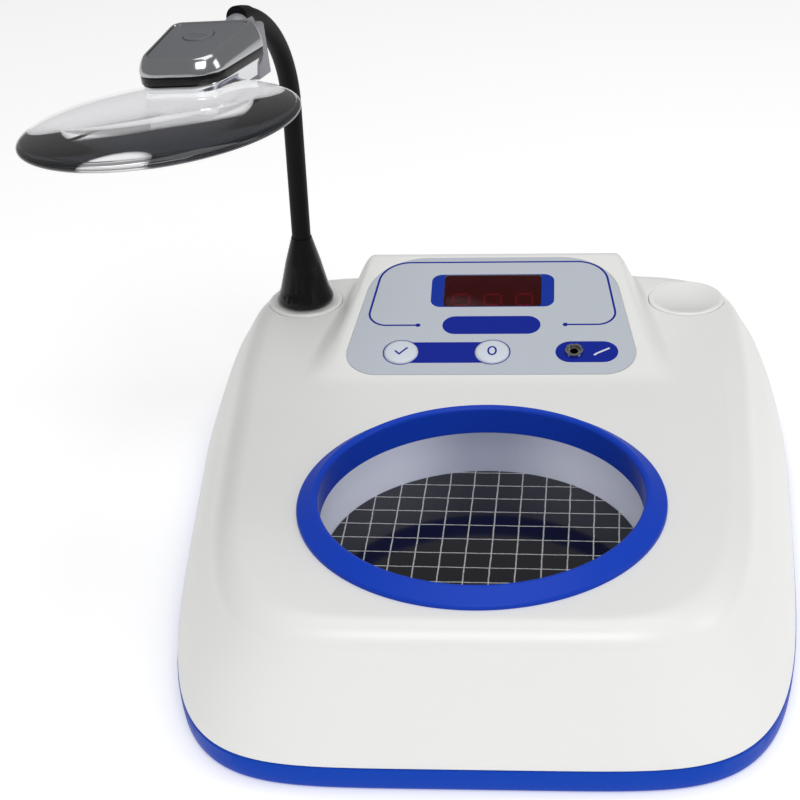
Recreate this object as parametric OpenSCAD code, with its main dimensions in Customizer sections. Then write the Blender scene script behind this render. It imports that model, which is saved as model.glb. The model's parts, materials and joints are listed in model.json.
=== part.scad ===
// Colony counter: a bench instrument with a lit dish well, a counting panel and a magnifier on a flexible neck.
// Frame: X to the right, Y to the rear, Z up. The origin is on the well's axis, on the bench.

/* [Housing] */
// Height of the flat top above the bench
top_z = 66.5; // [56:0.5:90]
// Half width of the top plane at its widest
top_half_w = 110; // [100:1:150]
// Distance from the well's axis to the top plane's front edge
top_front = 83.5; // [78:0.5:110]
// Distance from the well's axis to the top plane's rear edge
top_rear = 205; // [196:1:260]
// How far the side walls lean out at the seam
side_flare = 26; // [8:1:40]
// How far the front and rear walls lean out at the seam
end_flare = 9.5; // [4:0.5:20]
// Height of the seam between the housing and its base
seam_z = 11; // [8:0.5:16]
// Wall thickness of the mouldings
wall = 3; // [2:0.1:4]
// Radius of the rounding along the top edge
edge_r = 9; // [5:0.5:14]

/* [Well] */
// Inner radius of the well
well_r = 63; // [50:0.5:66]
// Height of the grid glass above the bench
glass_z = 42; // [36:0.5:48]
// Thickness of the grid glass
glass_t = 4; // [2:0.5:6]
// Pitch of the engraved grid
grid_pitch = 10; // [5:1:20]
// Width of the blue trim ring on the housing
ring_w = 8.6; // [6:0.1:9]
// Depth of the dark dish below the glass
dish_depth = 18; // [8:1:20]

/* [Panel] */
// Y of the panel's lower edge
panel_y = 100.6; // [90:0.1:110]
// Slope of the panel
panel_slope = 14; // [10:1:20]
// Length of the panel's overlay along the slope
panel_len = 78.7; // [70:0.1:84]
// Half width of the overlay at its lower edge
panel_half_low = 65.4; // [62:0.1:70]
// Half width of the overlay at its upper edge
panel_half_top = 53.1; // [48:0.1:58]
// Diameter of the round keys
key_d = 14.6; // [10:0.1:15]
// Travel of the round keys
key_travel = 0.6; // [0.3:0.1:1]
// Width of the display window
window_w = 43.4; // [30:0.1:48]

/* [Magnifier arm] */
// Distance of each arm socket from the middle
socket_x = 88; // [86:0.5:92]
// Y of the arm sockets
socket_y = 174; // [170:0.5:176]
// Radius of the disc that covers an arm socket
socket_r = 17; // [15:0.5:17.5]
// Height of the arm's cone
cone_h = 32; // [24:0.5:40]
// Radius of the flexible neck
neck_r = 4.3; // [3.5:0.1:5]
// Length of the straight stretch of the neck
neck_straight = 62.7; // [50:0.1:90]
// Radius of the neck's bend
bend_r = 57.8; // [45:0.1:70]
// Angle that the neck turns through
bend_sweep = 70; // [60:1:85]
// Direction in which the neck leans, from +X
lean_azimuth = -107.4; // [-120:0.1:-70]

/* [Lens] */
// Radius of the magnifying lens
lens_r = 54.7; // [50:0.1:60]
// Thickness of the lens at its middle
lens_t = 26; // [20:0.5:28]
// Thickness of the lens at its rim
lens_rim = 3; // [2:0.5:5]
// Forward tilt of the lens, which raises its near edge
lens_pitch = -11.5; // [-25:0.5:0]
// Sideways tilt of the lens
lens_roll = -8.1; // [-15:0.1:5]
// Width of the magnifier's head
head_w = 31; // [28:0.5:36]

/* [Hidden] */
$fn = 72;

// Clearances: a sliding or turning fit, a loose seat, and the gap between parts of different bodies
fit_gap = 0.05;
seat_gap = 0.2;
free_gap = 0.3;
// Small overlap that lets a cut run past a face
cut = 0.5;

// ---------- outline of the housing ----------
plan_y = 120;          // Y of the widest section
plan_power = 4.6;      // squareness of the outline's corners
front_taper = 0.09;    // share of the width lost towards the front
plan_steps = 96;

// Point i of n of the outline at lean 0 (top edge) to 1 (seam), pulled in by inset
function plan_point(i, n, lean, inset) =
    let (h = 360 * i / n, c = cos(h), s = sin(h),
         half_w = top_half_w + side_flare * lean - inset,
         front = top_front + plan_y + end_flare * lean - inset,
         rear = top_rear - plan_y + end_flare * lean - inset,
         k = pow(pow(abs(c), plan_power) + pow(abs(s), plan_power), -1 / plan_power),
         v = s * k,
         taper = v < 0 ? 1 + front_taper * v : 1)
    [half_w * c * k * taper, plan_y + (v < 0 ? front : rear) * v];

function plan_outline(n, lean, inset) = [for (i = [0:n - 1]) plan_point(i, n, lean, inset)];
function lean_at(z) = (top_z - z) / (top_z - seam_z);

// ---------- panel and the raised console under it ----------
panel_z = top_z + 1;
panel_t = 0.6;
console_crown = 4;     // length of moulding above the overlay
console_side = 3;      // width of moulding beside the overlay
flank_w = 14;          // width of the console's side slopes
blend_r = 4;           // size of the soft joins between the console's faces
rear_fall = 0.95;      // fall of the console's rear face

function soft_min(a, b, k) = let (h = max(k - abs(a - b), 0) / k) min(a, b) - h * h * k / 4;
function soft_max(a, b, k) = -soft_min(-a, -b, k);
function smooth(t) = let (u = min(max(t, 0), 1)) u * u * (3 - 2 * u);

function panel_half(u) = panel_half_low + (panel_half_top - panel_half_low) * u / panel_len;
function panel_rise(y) = panel_z - top_z + (y - panel_y) * tan(panel_slope);
console_y = panel_y + (panel_len + console_crown) * cos(panel_slope);
function console_profile(y) =
    soft_min(panel_rise(y), panel_rise(console_y) - (y - console_y) * rear_fall, blend_r);
function console_rise(x, y) =
    let (u = (y - panel_y) / cos(panel_slope),
         side = (abs(x) - panel_half(u) - console_side) / flank_w)
    soft_max(console_profile(y), 0, 1) * (1 - smooth(side));
function top_height(x, y) = top_z + max(console_rise(x, y), 0);

module on_panel() {
    translate([0, panel_y, panel_z]) rotate([panel_slope, 0, 0]) children();
}

// ---------- shared shape helpers ----------
// Closed skin over rings of equal length, the first and last ring capped. Its diagonals mirror left to right.
module skin(rings) {
    n = len(rings[0]);
    m = len(rings);
    points = [for (ring = rings) each ring];
    sides = [for (j = [0:m - 2]) for (i = [0:n - 1])
        let (a = j * n + i, b = j * n + (i + 1) % n)
            each cos(360 * (i + 0.5) / n) > 0 ? [[a, a + n, b], [b, a + n, b + n]]
                                              : [[a, a + n, b + n], [a, b + n, b]]];
    first = [[for (i = [0:n - 1]) i]];
    last = [[for (i = [n - 1:-1:0]) (m - 1) * n + i]];
    polyhedron(concat(points), concat(first, sides, last), convexity = 6);
}

// Arc of steps points that rounds corner b between a and c
function corner(a, b, c, r, steps) =
    let (p = (a - b) / norm(a - b), q = (c - b) / norm(c - b), half = acos(p * q) / 2,
         mid = b + (p + q) / norm(p + q) * r / sin(half),
         from = b + p * r / tan(half) - mid, to = b + q * r / tan(half) - mid,
         start = atan2(from[1], from[0]),
         turn = atan2(from[0] * to[1] - from[1] * to[0], from * to))
    [for (i = [0:steps]) mid + r * [cos(start + turn * i / steps), sin(start + turn * i / steps)]];

function rounded(pts, radii, steps = 6) =
    let (n = len(pts))
    [for (i = [0:n - 1]) each corner(pts[(i + n - 1) % n], pts[i], pts[(i + 1) % n], radii[i], steps)];

function box_outline(w, l, r, steps = 6) =
    rounded([[-w / 2, -l / 2], [w / 2, -l / 2], [w / 2, l / 2], [-w / 2, l / 2]], [r, r, r, r], steps);

// Bar with round ends, w wide and l long
module stadium(w, l) {
    square([w, l - w], center = true);
    for (s = [-1, 1]) translate([0, s * (l - w) / 2]) circle(d = w);
}

function panel_outline(grow) =
    let (low = panel_half_low + grow, top = panel_half_top + grow)
    rounded([[-low, -grow], [low, -grow], [top, panel_len + grow], [-top, panel_len + grow]],
            [14 + grow, 14 + grow, 27 + grow, 27 + grow]);

module ring_at(r_in, r_out, z, h) {
    translate([0, 0, z]) difference() {
        cylinder(r = r_out, h = h);
        translate([0, 0, -cut]) cylinder(r = r_in, h = h + 2 * cut);
    }
}

module at_each(places) {
    for (p = places) translate(p) children();
}

// ---------- base ----------
base_z = 1.5;
foot_r = 8;
foot_t = 4;
floor_t = 3;
tongue_h = 4;
tongue_t = 2;
foot_places = [[-92, -60, 0], [92, -60, 0], [-112, 180, 0], [112, 180, 0]];
post_places = [[-79, -51, 0], [79, -51, 0], [-97, 118, 0], [97, 118, 0], [0, 190, 0]];
screw_r = 1.6;
screw_head_r = 3.6;
vent_w = 3;
vent_l = 34;
floor_z = base_z + floor_t;

function level(n, z, lean, inset) = [for (p = plan_outline(n, lean, inset)) [p[0], p[1], z]];

module base_tray() {
    color("#0b44b4") difference() {
        union() {
            difference() {
                skin([level(plan_steps, base_z, 1, 6), level(plan_steps, base_z + 2.5, 1, 3.4),
                      level(plan_steps, base_z + 6, 1, 2.2), level(plan_steps, seam_z - 0.2, 1, 1.6)]);
                translate([0, 0, floor_z]) linear_extrude(seam_z) polygon(plan_outline(48, 1, 3 + 2 * wall));
            }
            difference() {
                translate([0, 0, seam_z - 2])
                    linear_extrude(2 + tongue_h) polygon(plan_outline(48, 1, 2 * wall));
                translate([0, 0, floor_z])
                    linear_extrude(seam_z + tongue_h) polygon(plan_outline(48, 1, 2 * wall + tongue_t));
            }
            at_each(foot_places) translate([0, 0, floor_z]) cylinder(r = foot_r + 2.5, h = 3);
            at_each(post_places) translate([0, 0, floor_z]) cylinder(r = 6, h = seam_z + 1 - floor_z);
        }
        at_each(foot_places) translate([0, 0, -cut]) cylinder(r = foot_r + seat_gap, h = foot_t + cut);
        at_each(post_places) {
            translate([0, 0, -cut]) cylinder(r = screw_r + 0.4, h = seam_z + 4);
            translate([0, 0, -cut]) cylinder(r = screw_head_r + 0.4, h = base_z + 4 + cut);
        }
        for (side = [-1, 1], k = [0:7])
            translate([side * 46 - vent_l / 2, 96 + k * 9, -cut]) cube([vent_l, vent_w, floor_z + 2]);
    }
}

module rubber_feet() {
    color("#1b1b1d") at_each(foot_places) rotate_extrude()
        polygon([[0, 0], [foot_r - 0.8, 0], [foot_r, 0.8], [foot_r, foot_t], [0, foot_t]]);
}

module housing_screws() {
    head_z = base_z + 4;
    color("silver") at_each(post_places) translate([0, 0, head_z]) difference() {
        union() {
            translate([0, 0, -2.6]) cylinder(r = screw_head_r, h = 2.6);
            cylinder(r = screw_r - fit_gap, h = 18);
        }
        translate([0, 0, -3]) for (turn = [0, 90]) rotate(turn) cube([4.4, 1, 3], center = true);
    }
}

// ---------- chassis around the well ----------
box_r = well_r + 14.5;
box_t = 1.5;
ledge_z = glass_z - glass_t;
ledge_t = 2;
pillar_r = 4;
pillar_ring = well_r + 9;
pillar_turns = [45, 135, 225, 315];

module round_places(radius, turns) {
    for (turn = turns) rotate(turn) translate([radius, 0, 0]) children();
}

module chassis_pillars() {
    color("#b9bcc0") round_places(pillar_ring, pillar_turns) translate([0, 0, floor_z]) difference() {
        cylinder(r = pillar_r, h = ledge_z - ledge_t - floor_z);
        translate([0, 0, 14]) cylinder(r = 1.3, h = 40);
    }
}

// Channel round the well: a ledge for the glass below, a wall outside and a lid flange above
module light_box() {
    lid_z = top_z - wall - 3.4;
    color("#e9ebee") difference() {
        rotate_extrude() polygon([
            [well_r - 5, ledge_z - ledge_t], [box_r, ledge_z - ledge_t], [box_r, lid_z],
            [well_r + 6, lid_z], [well_r + 6, lid_z - box_t], [box_r - box_t, lid_z - box_t],
            [box_r - box_t, ledge_z], [well_r - 5, ledge_z]]);
        rotate(90) translate([box_r, 0, ledge_z + 9]) cube([8, 14, 8], center = true);
    }
}

lamp_ring = well_r + 8.5;
lamp_tube_r = 3.6;
lamp_z = glass_z + 7;

module ring_lamp() {
    color("#f6f8ff") difference() {
        translate([0, 0, lamp_z]) rotate_extrude() translate([lamp_ring, 0]) circle(r = lamp_tube_r);
        rotate(90) translate([lamp_ring, 0, lamp_z]) cube([12, 16, 12], center = true);
    }
}

module lamp_clips() {
    jaw = lamp_tube_r + seat_gap;
    color("#d7d9dc") difference() {
        union() {
            round_places(lamp_ring, [-30, 210]) translate([-2.5, -3, ledge_z])
                cube([5, 6, lamp_z - ledge_z - 1]);
            rotate(90) translate([lamp_ring - 4.8, -8 + seat_gap, ledge_z])
                cube([8.3, 16 - 2 * seat_gap, lamp_z + 5 - ledge_z]);
        }
        translate([0, 0, lamp_z]) rotate_extrude() translate([lamp_ring, 0])
            intersection() { circle(r = jaw); square(2.9 * jaw, center = true); }
        rotate(90) translate([lamp_ring - 3, -6, ledge_z + 3]) cube([6, 12, 20]);
    }
}

module diffuser_ring() {
    color("#eef2fb") ring_at(well_r, well_r + 1.8, ledge_z + 0.1, top_z - 6.3 - ledge_z);
}

// The grid is engraved in the underside, so the upper face stays flat and wipes clean
module grid_glass() {
    glass_r = well_r - free_gap;
    lines = floor(glass_r / grid_pitch + 0.5);
    groove_w = 0.45;
    groove_d = 0.35;
    color([0.05, 0.05, 0.06, 0.5]) translate([0, 0, ledge_z]) rotate(-1.5) difference() {
        cylinder(r = glass_r, h = glass_t);
        for (turn = [0, 90], k = [-lines:lines - 1]) {
            across = (k + 0.5) * grid_pitch;
            if (abs(across) < glass_r - 1) rotate(turn) translate([-glass_r, across - groove_w / 2, -cut])
                cube([2 * glass_r, groove_w, groove_d + cut]);
        }
    }
}

// Shallow black bowl that hangs under the ledge and gives the dark field
module dark_dish() {
    rim_z = ledge_z - ledge_t;
    rim_r = well_r + 2;
    bowl_r = well_r - 6;
    bowl_t = 1.6;
    function curve(r) = rim_z - dish_depth * (1 - pow(r / bowl_r, 2));
    steps = 10;
    color("#08090b") rotate_extrude() polygon(concat(
        [for (i = [0:steps]) [bowl_r * i / steps, curve(bowl_r * i / steps) - bowl_t]],
        [[rim_r, rim_z - bowl_t], [rim_r, rim_z]],
        [for (i = [steps:-1:0]) [bowl_r * i / steps, curve(bowl_r * i / steps)]]));
}

// ---------- housing ----------
ring_hole_r = well_r + 3.2;
spindle_r = 6;
socket_bore_r = 12;
cap_room = key_d / 2 + 1.6;
inlet_x = 62;
inlet_z = 34;
rocker_x = -62;
inlet_w = 27.4;
inlet_h = 20;
rocker_w = 21;
rocker_h = 15;
flange_w = inlet_w + 5;
flange_h = inlet_h + 13;
rear_seat_y = top_rear + end_flare * lean_at(inlet_z + flange_h / 2) - 0.6;
wall_lean = atan(end_flare / (top_z - seam_z));

module post(z) {
    translate([0, 0, z]) difference() {
        cylinder(r = 4.5, h = top_z - wall - z + 1);
        translate([0, 0, -cut]) cylinder(r = screw_r, h = 16);
    }
}

module housing_skin() {
    top_rings = 20;
    fillet = [for (k = [0:4]) let (turn = 90 * k / 4) [edge_r * (1 - cos(turn)), edge_r * (1 - sin(turn))]];
    edge = [for (f = fillet) [lean_at(top_z - f[0]), f[1], top_z - f[0]]];
    lower = [for (z = [top_z - 22, top_z - 38, seam_z + 4, seam_z])
        [lean_at(z) + 0.10 * sin(180 * lean_at(z)), 0, z]];
    walls = concat([[1, 0.8, seam_z]], [for (i = [len(lower) - 2:-1:0]) lower[i]], [for (i = [4:-1:0]) edge[i]]);
    rim = plan_outline(plan_steps, edge[0][0], edge[0][1]);
    side_rings = [for (w = walls) [for (p = plan_outline(plan_steps, w[0], w[1]))
        [p[0], p[1], w[2] + (w[2] > top_z - edge_r - 1 ? top_height(p[0], p[1]) - top_z : 0)]]];
    deck = [for (k = [1:top_rings - 1]) let (s = 1 - k / top_rings) [for (p = rim)
        let (x = p[0] * s, y = plan_y + (p[1] - plan_y) * s) [x, y, top_height(x, y)]]];
    skin(concat(side_rings, deck));
}

// Space inside the mouldings: a tapered body cavity and a wedge under the console
module housing_cavity() {
    ceiling = top_z - wall;
    skin([level(48, seam_z - 1, 1, wall), level(48, seam_z + 5, lean_at(seam_z + 5), wall),
          level(48, ceiling - 7, lean_at(ceiling - 7), wall + 1), level(48, ceiling - 2, lean_at(ceiling - 2), wall + 4),
          level(48, ceiling, lean_at(ceiling), wall + edge_r - 2)]);
    on_panel() translate([-46, 8, -30]) cube([92, panel_len - 16, 30 - wall - panel_t]);
}

// Opening in the rear wall for a body w by h, and an upright seat for its flange
module rear_cut(x, w, h, seat_w, seat_h) {
    translate([x - w / 2 - seat_gap, rear_seat_y - 20, inlet_z - h / 2 - seat_gap])
        cube([w + 2 * seat_gap, 60, h + 2 * seat_gap]);
    translate([x - seat_w / 2 - seat_gap, rear_seat_y, inlet_z - seat_h / 2 - seat_gap])
        cube([seat_w + 2 * seat_gap, 40, seat_h + 2 * seat_gap]);
}

module upper_housing() {
    color("#f1f1ef") difference() {
        union() {
            difference() {
                housing_skin();
                housing_cavity();
            }
            at_each(post_places) post(seam_z + 1.2);
            for (x = [inlet_x, rocker_x]) translate([x, rear_seat_y + 1.2, inlet_z]) rotate([wall_lean, 0, 0])
                translate([-flange_w / 2 - 2, -6, -flange_h / 2 - 1]) cube([flange_w + 4, 6, flange_h + 4]);
            for (side = [-1, 1]) translate([side * socket_x, socket_y, top_z - 21])
                cylinder(r = socket_bore_r + 3, h = 19);
        }
        translate([0, 0, top_z - 12]) cylinder(r = ring_hole_r, h = 40);
        for (side = [-1, 1]) translate([side * socket_x, socket_y, 0]) {
            translate([0, 0, top_z - 24]) cylinder(r = socket_bore_r, h = 40);
            translate([0, 0, top_z - 2.4]) cylinder(r = socket_r + seat_gap, h = 20);
        }
        on_panel() {
            translate([0, 0, -panel_t]) linear_extrude(30) polygon(panel_outline(seat_gap));
            translate([check_x - cap_room, keys_u - cap_room, -12])
                cube([reset_x - check_x + 2 * cap_room, 2 * cap_room, 20]);
            translate([-window_w / 2 - 2, window_u - window_h / 2 - 2, -12])
                cube([window_w + 4, window_h + 4, 20]);
            translate([jack_x, keys_u, -12]) cylinder(r = jack_body_r + seat_gap, h = 20);
        }
        rear_cut(inlet_x, inlet_w, inlet_h, flange_w, flange_h);
        rear_cut(rocker_x, rocker_w, rocker_h, rocker_w + 4, rocker_h + 4);
    }
}

// Trim ring: the face rises inwards to a rounded lip, and a skirt goes down into the housing
module well_ring() {
    lip = 4.2;
    outer = well_r + ring_w;
    skirt_low = top_z - 6;
    color("#0f49bf") rotate_extrude() polygon(concat(
        [[well_r + 2.8, top_z], [outer, top_z]],
        [for (turn = [0:15:75]) [outer - 1.2 + 1.2 * cos(turn), top_z + 0.9 + 1.2 * sin(turn)]],
        [for (turn = [75:15:180]) [well_r + 1.8 + 1.8 * cos(turn), top_z + lip + 1.8 * sin(turn)]],
        [[well_r, skirt_low], [well_r + 2.8, skirt_low]]));
}

// ---------- panel ----------
keys_u = 14.1;
check_x = -39.1;
reset_x = 0.8;
jack_x = 36.4;
window_u = 55.4;
window_h = 21.4;
board_z = -15;
board_t = 1.6;
key_proud = 0.9;
jack_r = 1.8;
jack_body_r = 2.9;
nut_r = 3.9;

module panel_overlay() {
    color("#c3c8cf") on_panel() translate([0, 0, -panel_t]) difference() {
        linear_extrude(panel_t) polygon(panel_outline(0));
        for (x = [check_x, reset_x]) translate([x, keys_u, -cut]) cylinder(d = key_d + 2 * free_gap, h = 3);
        translate([jack_x, keys_u, -cut]) cylinder(r = jack_body_r + seat_gap, h = 3);
        translate([0, window_u, -cut]) linear_extrude(3)
            square([window_w + 2 * seat_gap, window_h + 2 * seat_gap], center = true);
    }
}

module display_window() {
    color([0.35, 0.02, 0.03, 0.85]) on_panel() translate([0, window_u, -2]) linear_extrude(2)
        polygon(box_outline(window_w, window_h, 1.5, 4));
}

// Three seven-segment digits: each is a set of bars let into the module's face
module display_module() {
    digit_pitch = 14.2;
    bar_l = 6.2;
    bar_w = 1.2;
    body = [42, 19, -2.4 - board_z];
    color("#3a1516") on_panel() translate([0, window_u, -2.4 - body[2]]) difference() {
        translate([-body[0] / 2, -body[1] / 2, 0]) cube(body);
        for (k = [-1:1]) translate([k * digit_pitch, 0, body[2] - 0.4]) {
            for (row = [-1:1]) translate([-bar_l / 2, row * (bar_l + bar_w) - bar_w / 2, 0])
                cube([bar_l, bar_w, 1]);
            for (side = [-1, 1], row = [-1, 0])
                translate([side * (bar_l / 2 + bar_w) - bar_w / 2, row * (bar_l + bar_w) + bar_w / 2 + 0.1, 0])
                    cube([bar_w, bar_l - 0.2, 1]);
        }
    }
}

board_size = [88, 59];
board_u = 9.5;
board_holes = [for (x = [-36, 36], u = [33, 65.5]) [x, u, 0]];

module control_board() {
    color("#1f6a3c") on_panel() translate([0, 0, board_z - board_t]) difference() {
        translate([-board_size[0] / 2, board_u, 0]) cube([board_size[0], board_size[1], board_t]);
        at_each(board_holes) translate([0, 0, -cut]) cylinder(r = 1.7, h = 4);
    }
}

module board_chips() {
    color("#202124") on_panel() translate([0, 0, board_z]) {
        translate([-28, 28, 0]) cube([24, 9, 3.4]);
        translate([4, 29, 0]) cube([10, 10, 2.6]);
        for (x = [19, 27]) translate([x, 34, 0]) cylinder(r = 2.5, h = 3.6);
    }
}

module board_pillars() {
    color("#d8c074") on_panel() at_each(board_holes) translate([0, 0, board_z]) difference() {
        cylinder(r = 2.6, h = -board_z - panel_t - wall - 0.1);
        translate([0, 0, -cut]) cylinder(r = 1.2, h = 7);
    }
}

stem_r = 2;
switch_top = -key_travel - free_gap - 3.2;

module key_switches() {
    color("#17181a") on_panel() for (x = [check_x, reset_x]) translate([x, keys_u, board_z]) {
        translate([-4, -4, 0]) cube([8, 8, 4.5]);
        cylinder(r = 1.75, h = switch_top - board_z);
    }
}

// Cap with a low dome and a flange that stops it under the overlay
module key(x) {
    dome = 0.5;
    flange_t = 0.8;
    cap_r = key_d / 2;
    dome_r = (cap_r * cap_r + dome * dome) / (2 * dome);
    color("#e4e8ee") on_panel() translate([x, keys_u, 0]) rotate_extrude() polygon(concat(
        [[0, -3.2], [stem_r, -3.2], [stem_r, -panel_t - 0.1 - flange_t],
         [cap_r + 1, -panel_t - 0.1 - flange_t], [cap_r + 1, -panel_t - 0.1], [cap_r, -panel_t - 0.1],
         [cap_r, key_proud - dome]],
        [for (k = [6:-1:0]) let (r = cap_r * k / 7)
            [r, key_proud - dome_r + sqrt(dome_r * dome_r - r * r)]]));
}

module check_key() { key(check_x); }
module reset_key() { key(reset_x); }

module probe_jack() {
    color("#c8b27a") on_panel() translate([jack_x, keys_u, 0]) difference() {
        union() {
            translate([0, 0, -14]) cylinder(r = jack_body_r, h = 14.4);
            translate([0, 0, -14]) cylinder(r = 4.6, h = 14 - panel_t - wall - 0.1);
        }
        translate([0, 0, -13]) cylinder(r = jack_r, h = 20);
    }
}

module jack_nut() {
    color("#cfd2d6") on_panel() translate([jack_x, keys_u, 0.05]) difference() {
        cylinder(r = nut_r, h = 1.3);
        translate([0, 0, -cut]) cylinder(r = jack_body_r + fit_gap, h = 3);
        for (k = [0:4]) rotate(72 * k + 18) translate([nut_r, 0, 1]) cube([0.9, 1.2, 1.2], center = true);
    }
}

// ---------- power ----------
module transformer() {
    color("#6d6f73") translate([-62, 128, floor_z]) {
        translate([-24, -18, 0]) cube([48, 36, 8]);
        translate([-17, -18, 8]) cube([34, 36, 22]);
        translate([-24, -11, 8]) cube([7, 22, 22]);
        translate([17, -11, 8]) cube([7, 22, 22]);
    }
}

module power_board() {
    color("#1f6a3c") {
        translate([22, 108, floor_z + 5]) cube([62, 58, 1.6]);
        for (x = [28, 78], y = [114, 160]) translate([x, y, floor_z]) cylinder(r = 3, h = 5);
        translate([34, 118, floor_z + 6.6]) cylinder(r = 6, h = 16);
        translate([50, 118, floor_z + 6.6]) cylinder(r = 6, h = 16);
        translate([62, 130, floor_z + 6.6]) cube([16, 22, 12]);
    }
}

// Mains inlet: a flange, a body through the wall and a recess with three flat pins
module power_inlet() {
    depth = 20;
    flange = [flange_w, 2.2, flange_h];
    color("#151517") translate([inlet_x, rear_seat_y, inlet_z]) difference() {
        union() {
            translate([-flange_w / 2, 0, -flange_h / 2]) cube(flange);
            translate([-inlet_w / 2, -depth, -inlet_h / 2]) cube([inlet_w, depth + 1, inlet_h]);
        }
        translate([-12, -15, -8]) cube([24, 30, 16]);
        translate([-fuse_w / 2 - seat_gap, 1, inlet_h / 2 + 1 - seat_gap])
            cube([fuse_w + 2 * seat_gap, 30, 5 + 2 * seat_gap]);
    }
}

module inlet_pins() {
    color("#b8bbc0") translate([inlet_x, rear_seat_y, inlet_z]) for (p = [[-7, -1], [0, 3], [7, -1]])
        translate([p[0] - 1, -15, p[1] - 2]) cube([2, 13, 4]);
}

fuse_w = 16;
module fuse_drawer() {
    color("#26272a") translate([inlet_x, rear_seat_y, inlet_z + inlet_h / 2 + 1]) difference() {
        translate([-fuse_w / 2, 1, 0]) cube([fuse_w, 2, 5]);
        translate([-4, 2.4, 1.5]) cube([8, 3, 2]);
    }
}

rocker_pin_r = 1.5;
rocker_pin_y = -4.5;
module rocker_frame() {
    color("#151517") translate([rocker_x, rear_seat_y, inlet_z]) difference() {
        union() {
            translate([-rocker_w / 2 - 2, 0, -rocker_h / 2 - 2]) cube([rocker_w + 4, 1.8, rocker_h + 4]);
            translate([-rocker_w / 2, -17, -rocker_h / 2]) cube([rocker_w, 18, rocker_h]);
        }
        translate([-rocker_w / 2 + 2, -13, -rocker_h / 2 + 1]) cube([rocker_w - 4, 30, rocker_h - 2]);
        translate([-rocker_w / 2 + 0.6, rocker_pin_y, 0]) rotate([0, 90, 0])
            cylinder(r = rocker_pin_r + fit_gap, h = rocker_w - 1.2);
    }
}

// Rocker: a shallow V in side view, lower half pressed in at rest
module rocker_paddle(tilt) {
    half = rocker_h / 2 - 2.1;
    width = rocker_w - 4 - 2 * free_gap;
    translate([-width / 2, rocker_pin_y, 0]) rotate([tilt, 0, 0]) rotate([0, 90, 0])
        linear_extrude(width) polygon([[-half, 5.2], [0, 4.8], [half, 5.2], [half - 1, -1.5],
                                        [2.5, -4.5], [-2.5, -4.5], [1 - half, -1.5]]);
    translate([-rocker_w / 2 + 0.8, rocker_pin_y, 0]) rotate([0, 90, 0])
        cylinder(r = rocker_pin_r, h = rocker_w - 1.6);
}

rocker_tilt = 9;
module power_rocker() {
    color("#2a2b2e") translate([rocker_x, rear_seat_y, inlet_z]) rocker_paddle(rocker_tilt);
}

// ---------- arm ----------
cap_top = top_z + 0.6;
cap_t = 3;
cone_z = cap_top + free_gap;
cone_r = 13;
cone_top_r = 4.7;

module socket_disc(bore) {
    difference() {
        rotate_extrude() polygon([[0, cap_top - cap_t], [socket_r, cap_top - cap_t], [socket_r, cap_top - 0.6],
            [socket_r - 0.6, cap_top], [socket_r - 2, cap_top], [socket_r - 2.6, cap_top - 0.4],
            [0, cap_top - 0.4]]);
        if (bore > 0) translate([0, 0, top_z - 20]) cylinder(r = bore, h = 40);
    }
}

module arm_socket_cap() {
    color("#f1f1ef") translate([-socket_x, socket_y, 0]) difference() {
        union() {
            socket_disc(0);
            translate([0, 0, top_z - 20]) cylinder(r = socket_bore_r - seat_gap, h = 20 + cap_top - top_z - cap_t + 0.1);
        }
        translate([0, 0, top_z - 30]) cylinder(r = spindle_r + fit_gap, h = 60);
    }
}

module blank_socket_cap() {
    color("#f1f1ef") translate([socket_x, socket_y, 0]) {
        socket_disc(0);
        translate([0, 0, top_z - 10]) difference() {
            cylinder(r = socket_bore_r - seat_gap, h = 10 + cap_top - top_z - cap_t + 0.1);
            translate([0, 0, -cut]) cylinder(r = socket_bore_r - 2, h = 8);
        }
    }
}

spindle_low = top_z - 29;
neck_spigot_r = 3;
module arm_cone() {
    color("#0c0c0d") translate([-socket_x, socket_y, 0]) difference() {
        rotate_extrude() polygon(concat(
            [[0, spindle_low], [spindle_r, spindle_low], [spindle_r, cone_z], [cone_r - 2, cone_z]],
            [for (turn = [-75:15:0]) [cone_r - 2 + 2 * cos(turn), cone_z + 2 + 2 * sin(turn)]],
            [[cone_r - 1.6, cone_z + 6], [cone_top_r + 3.4, cone_z + cone_h - 12],
             [cone_top_r, cone_z + cone_h], [0, cone_z + cone_h]]));
        translate([0, 0, cone_z + cone_h - 9]) cylinder(r = neck_spigot_r + fit_gap, h = 20);
        translate([0, 0, spindle_low - cut]) cylinder(r = 2.2, h = 26);
    }
}

module arm_lock_nut() {
    color("silver") translate([-socket_x, socket_y, spindle_low + 2]) difference() {
        cylinder(r = 10, h = 6.5, $fn = 6);
        translate([0, 0, -cut]) cylinder(r = spindle_r + 0.02, h = 10);
    }
}

// ---------- flexible neck ----------
neck_z = cone_z + cone_h;
arc_z = neck_z + neck_straight;
arc_len = bend_r * bend_sweep * PI / 180;
bend_low = 20 - neck_straight;     // bend points, as lengths along the neck from the start of its curve
bend_mid = 44 - neck_straight;
bend_high = arc_len * 0.36;
bend_tip = arc_len * 0.72;
neck_sides = 16;

// The neck's middle line in its own plane: straight up, then an arc towards +X
function neck_turn(s) = max(s, 0) / bend_r * 180 / PI;
function neck_at(s) = s < 0 ? [0, 0, s] : bend_r * [1 - cos(neck_turn(s)), 0, sin(neck_turn(s))];
function neck_dir(s) = [sin(neck_turn(s)), 0, cos(neck_turn(s))];
function neck_out(s) = [-cos(neck_turn(s)), 0, sin(neck_turn(s))];

// Ring of radius r, at offset along the tangent from the point at s
function neck_ring(s, offset, r) = [for (i = [0:neck_sides - 1]) let (h = 360 * i / neck_sides)
    neck_at(s) + offset * neck_dir(s) + r * (cos(h) * neck_out(s) - sin(h) * [0, 1, 0])];

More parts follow.
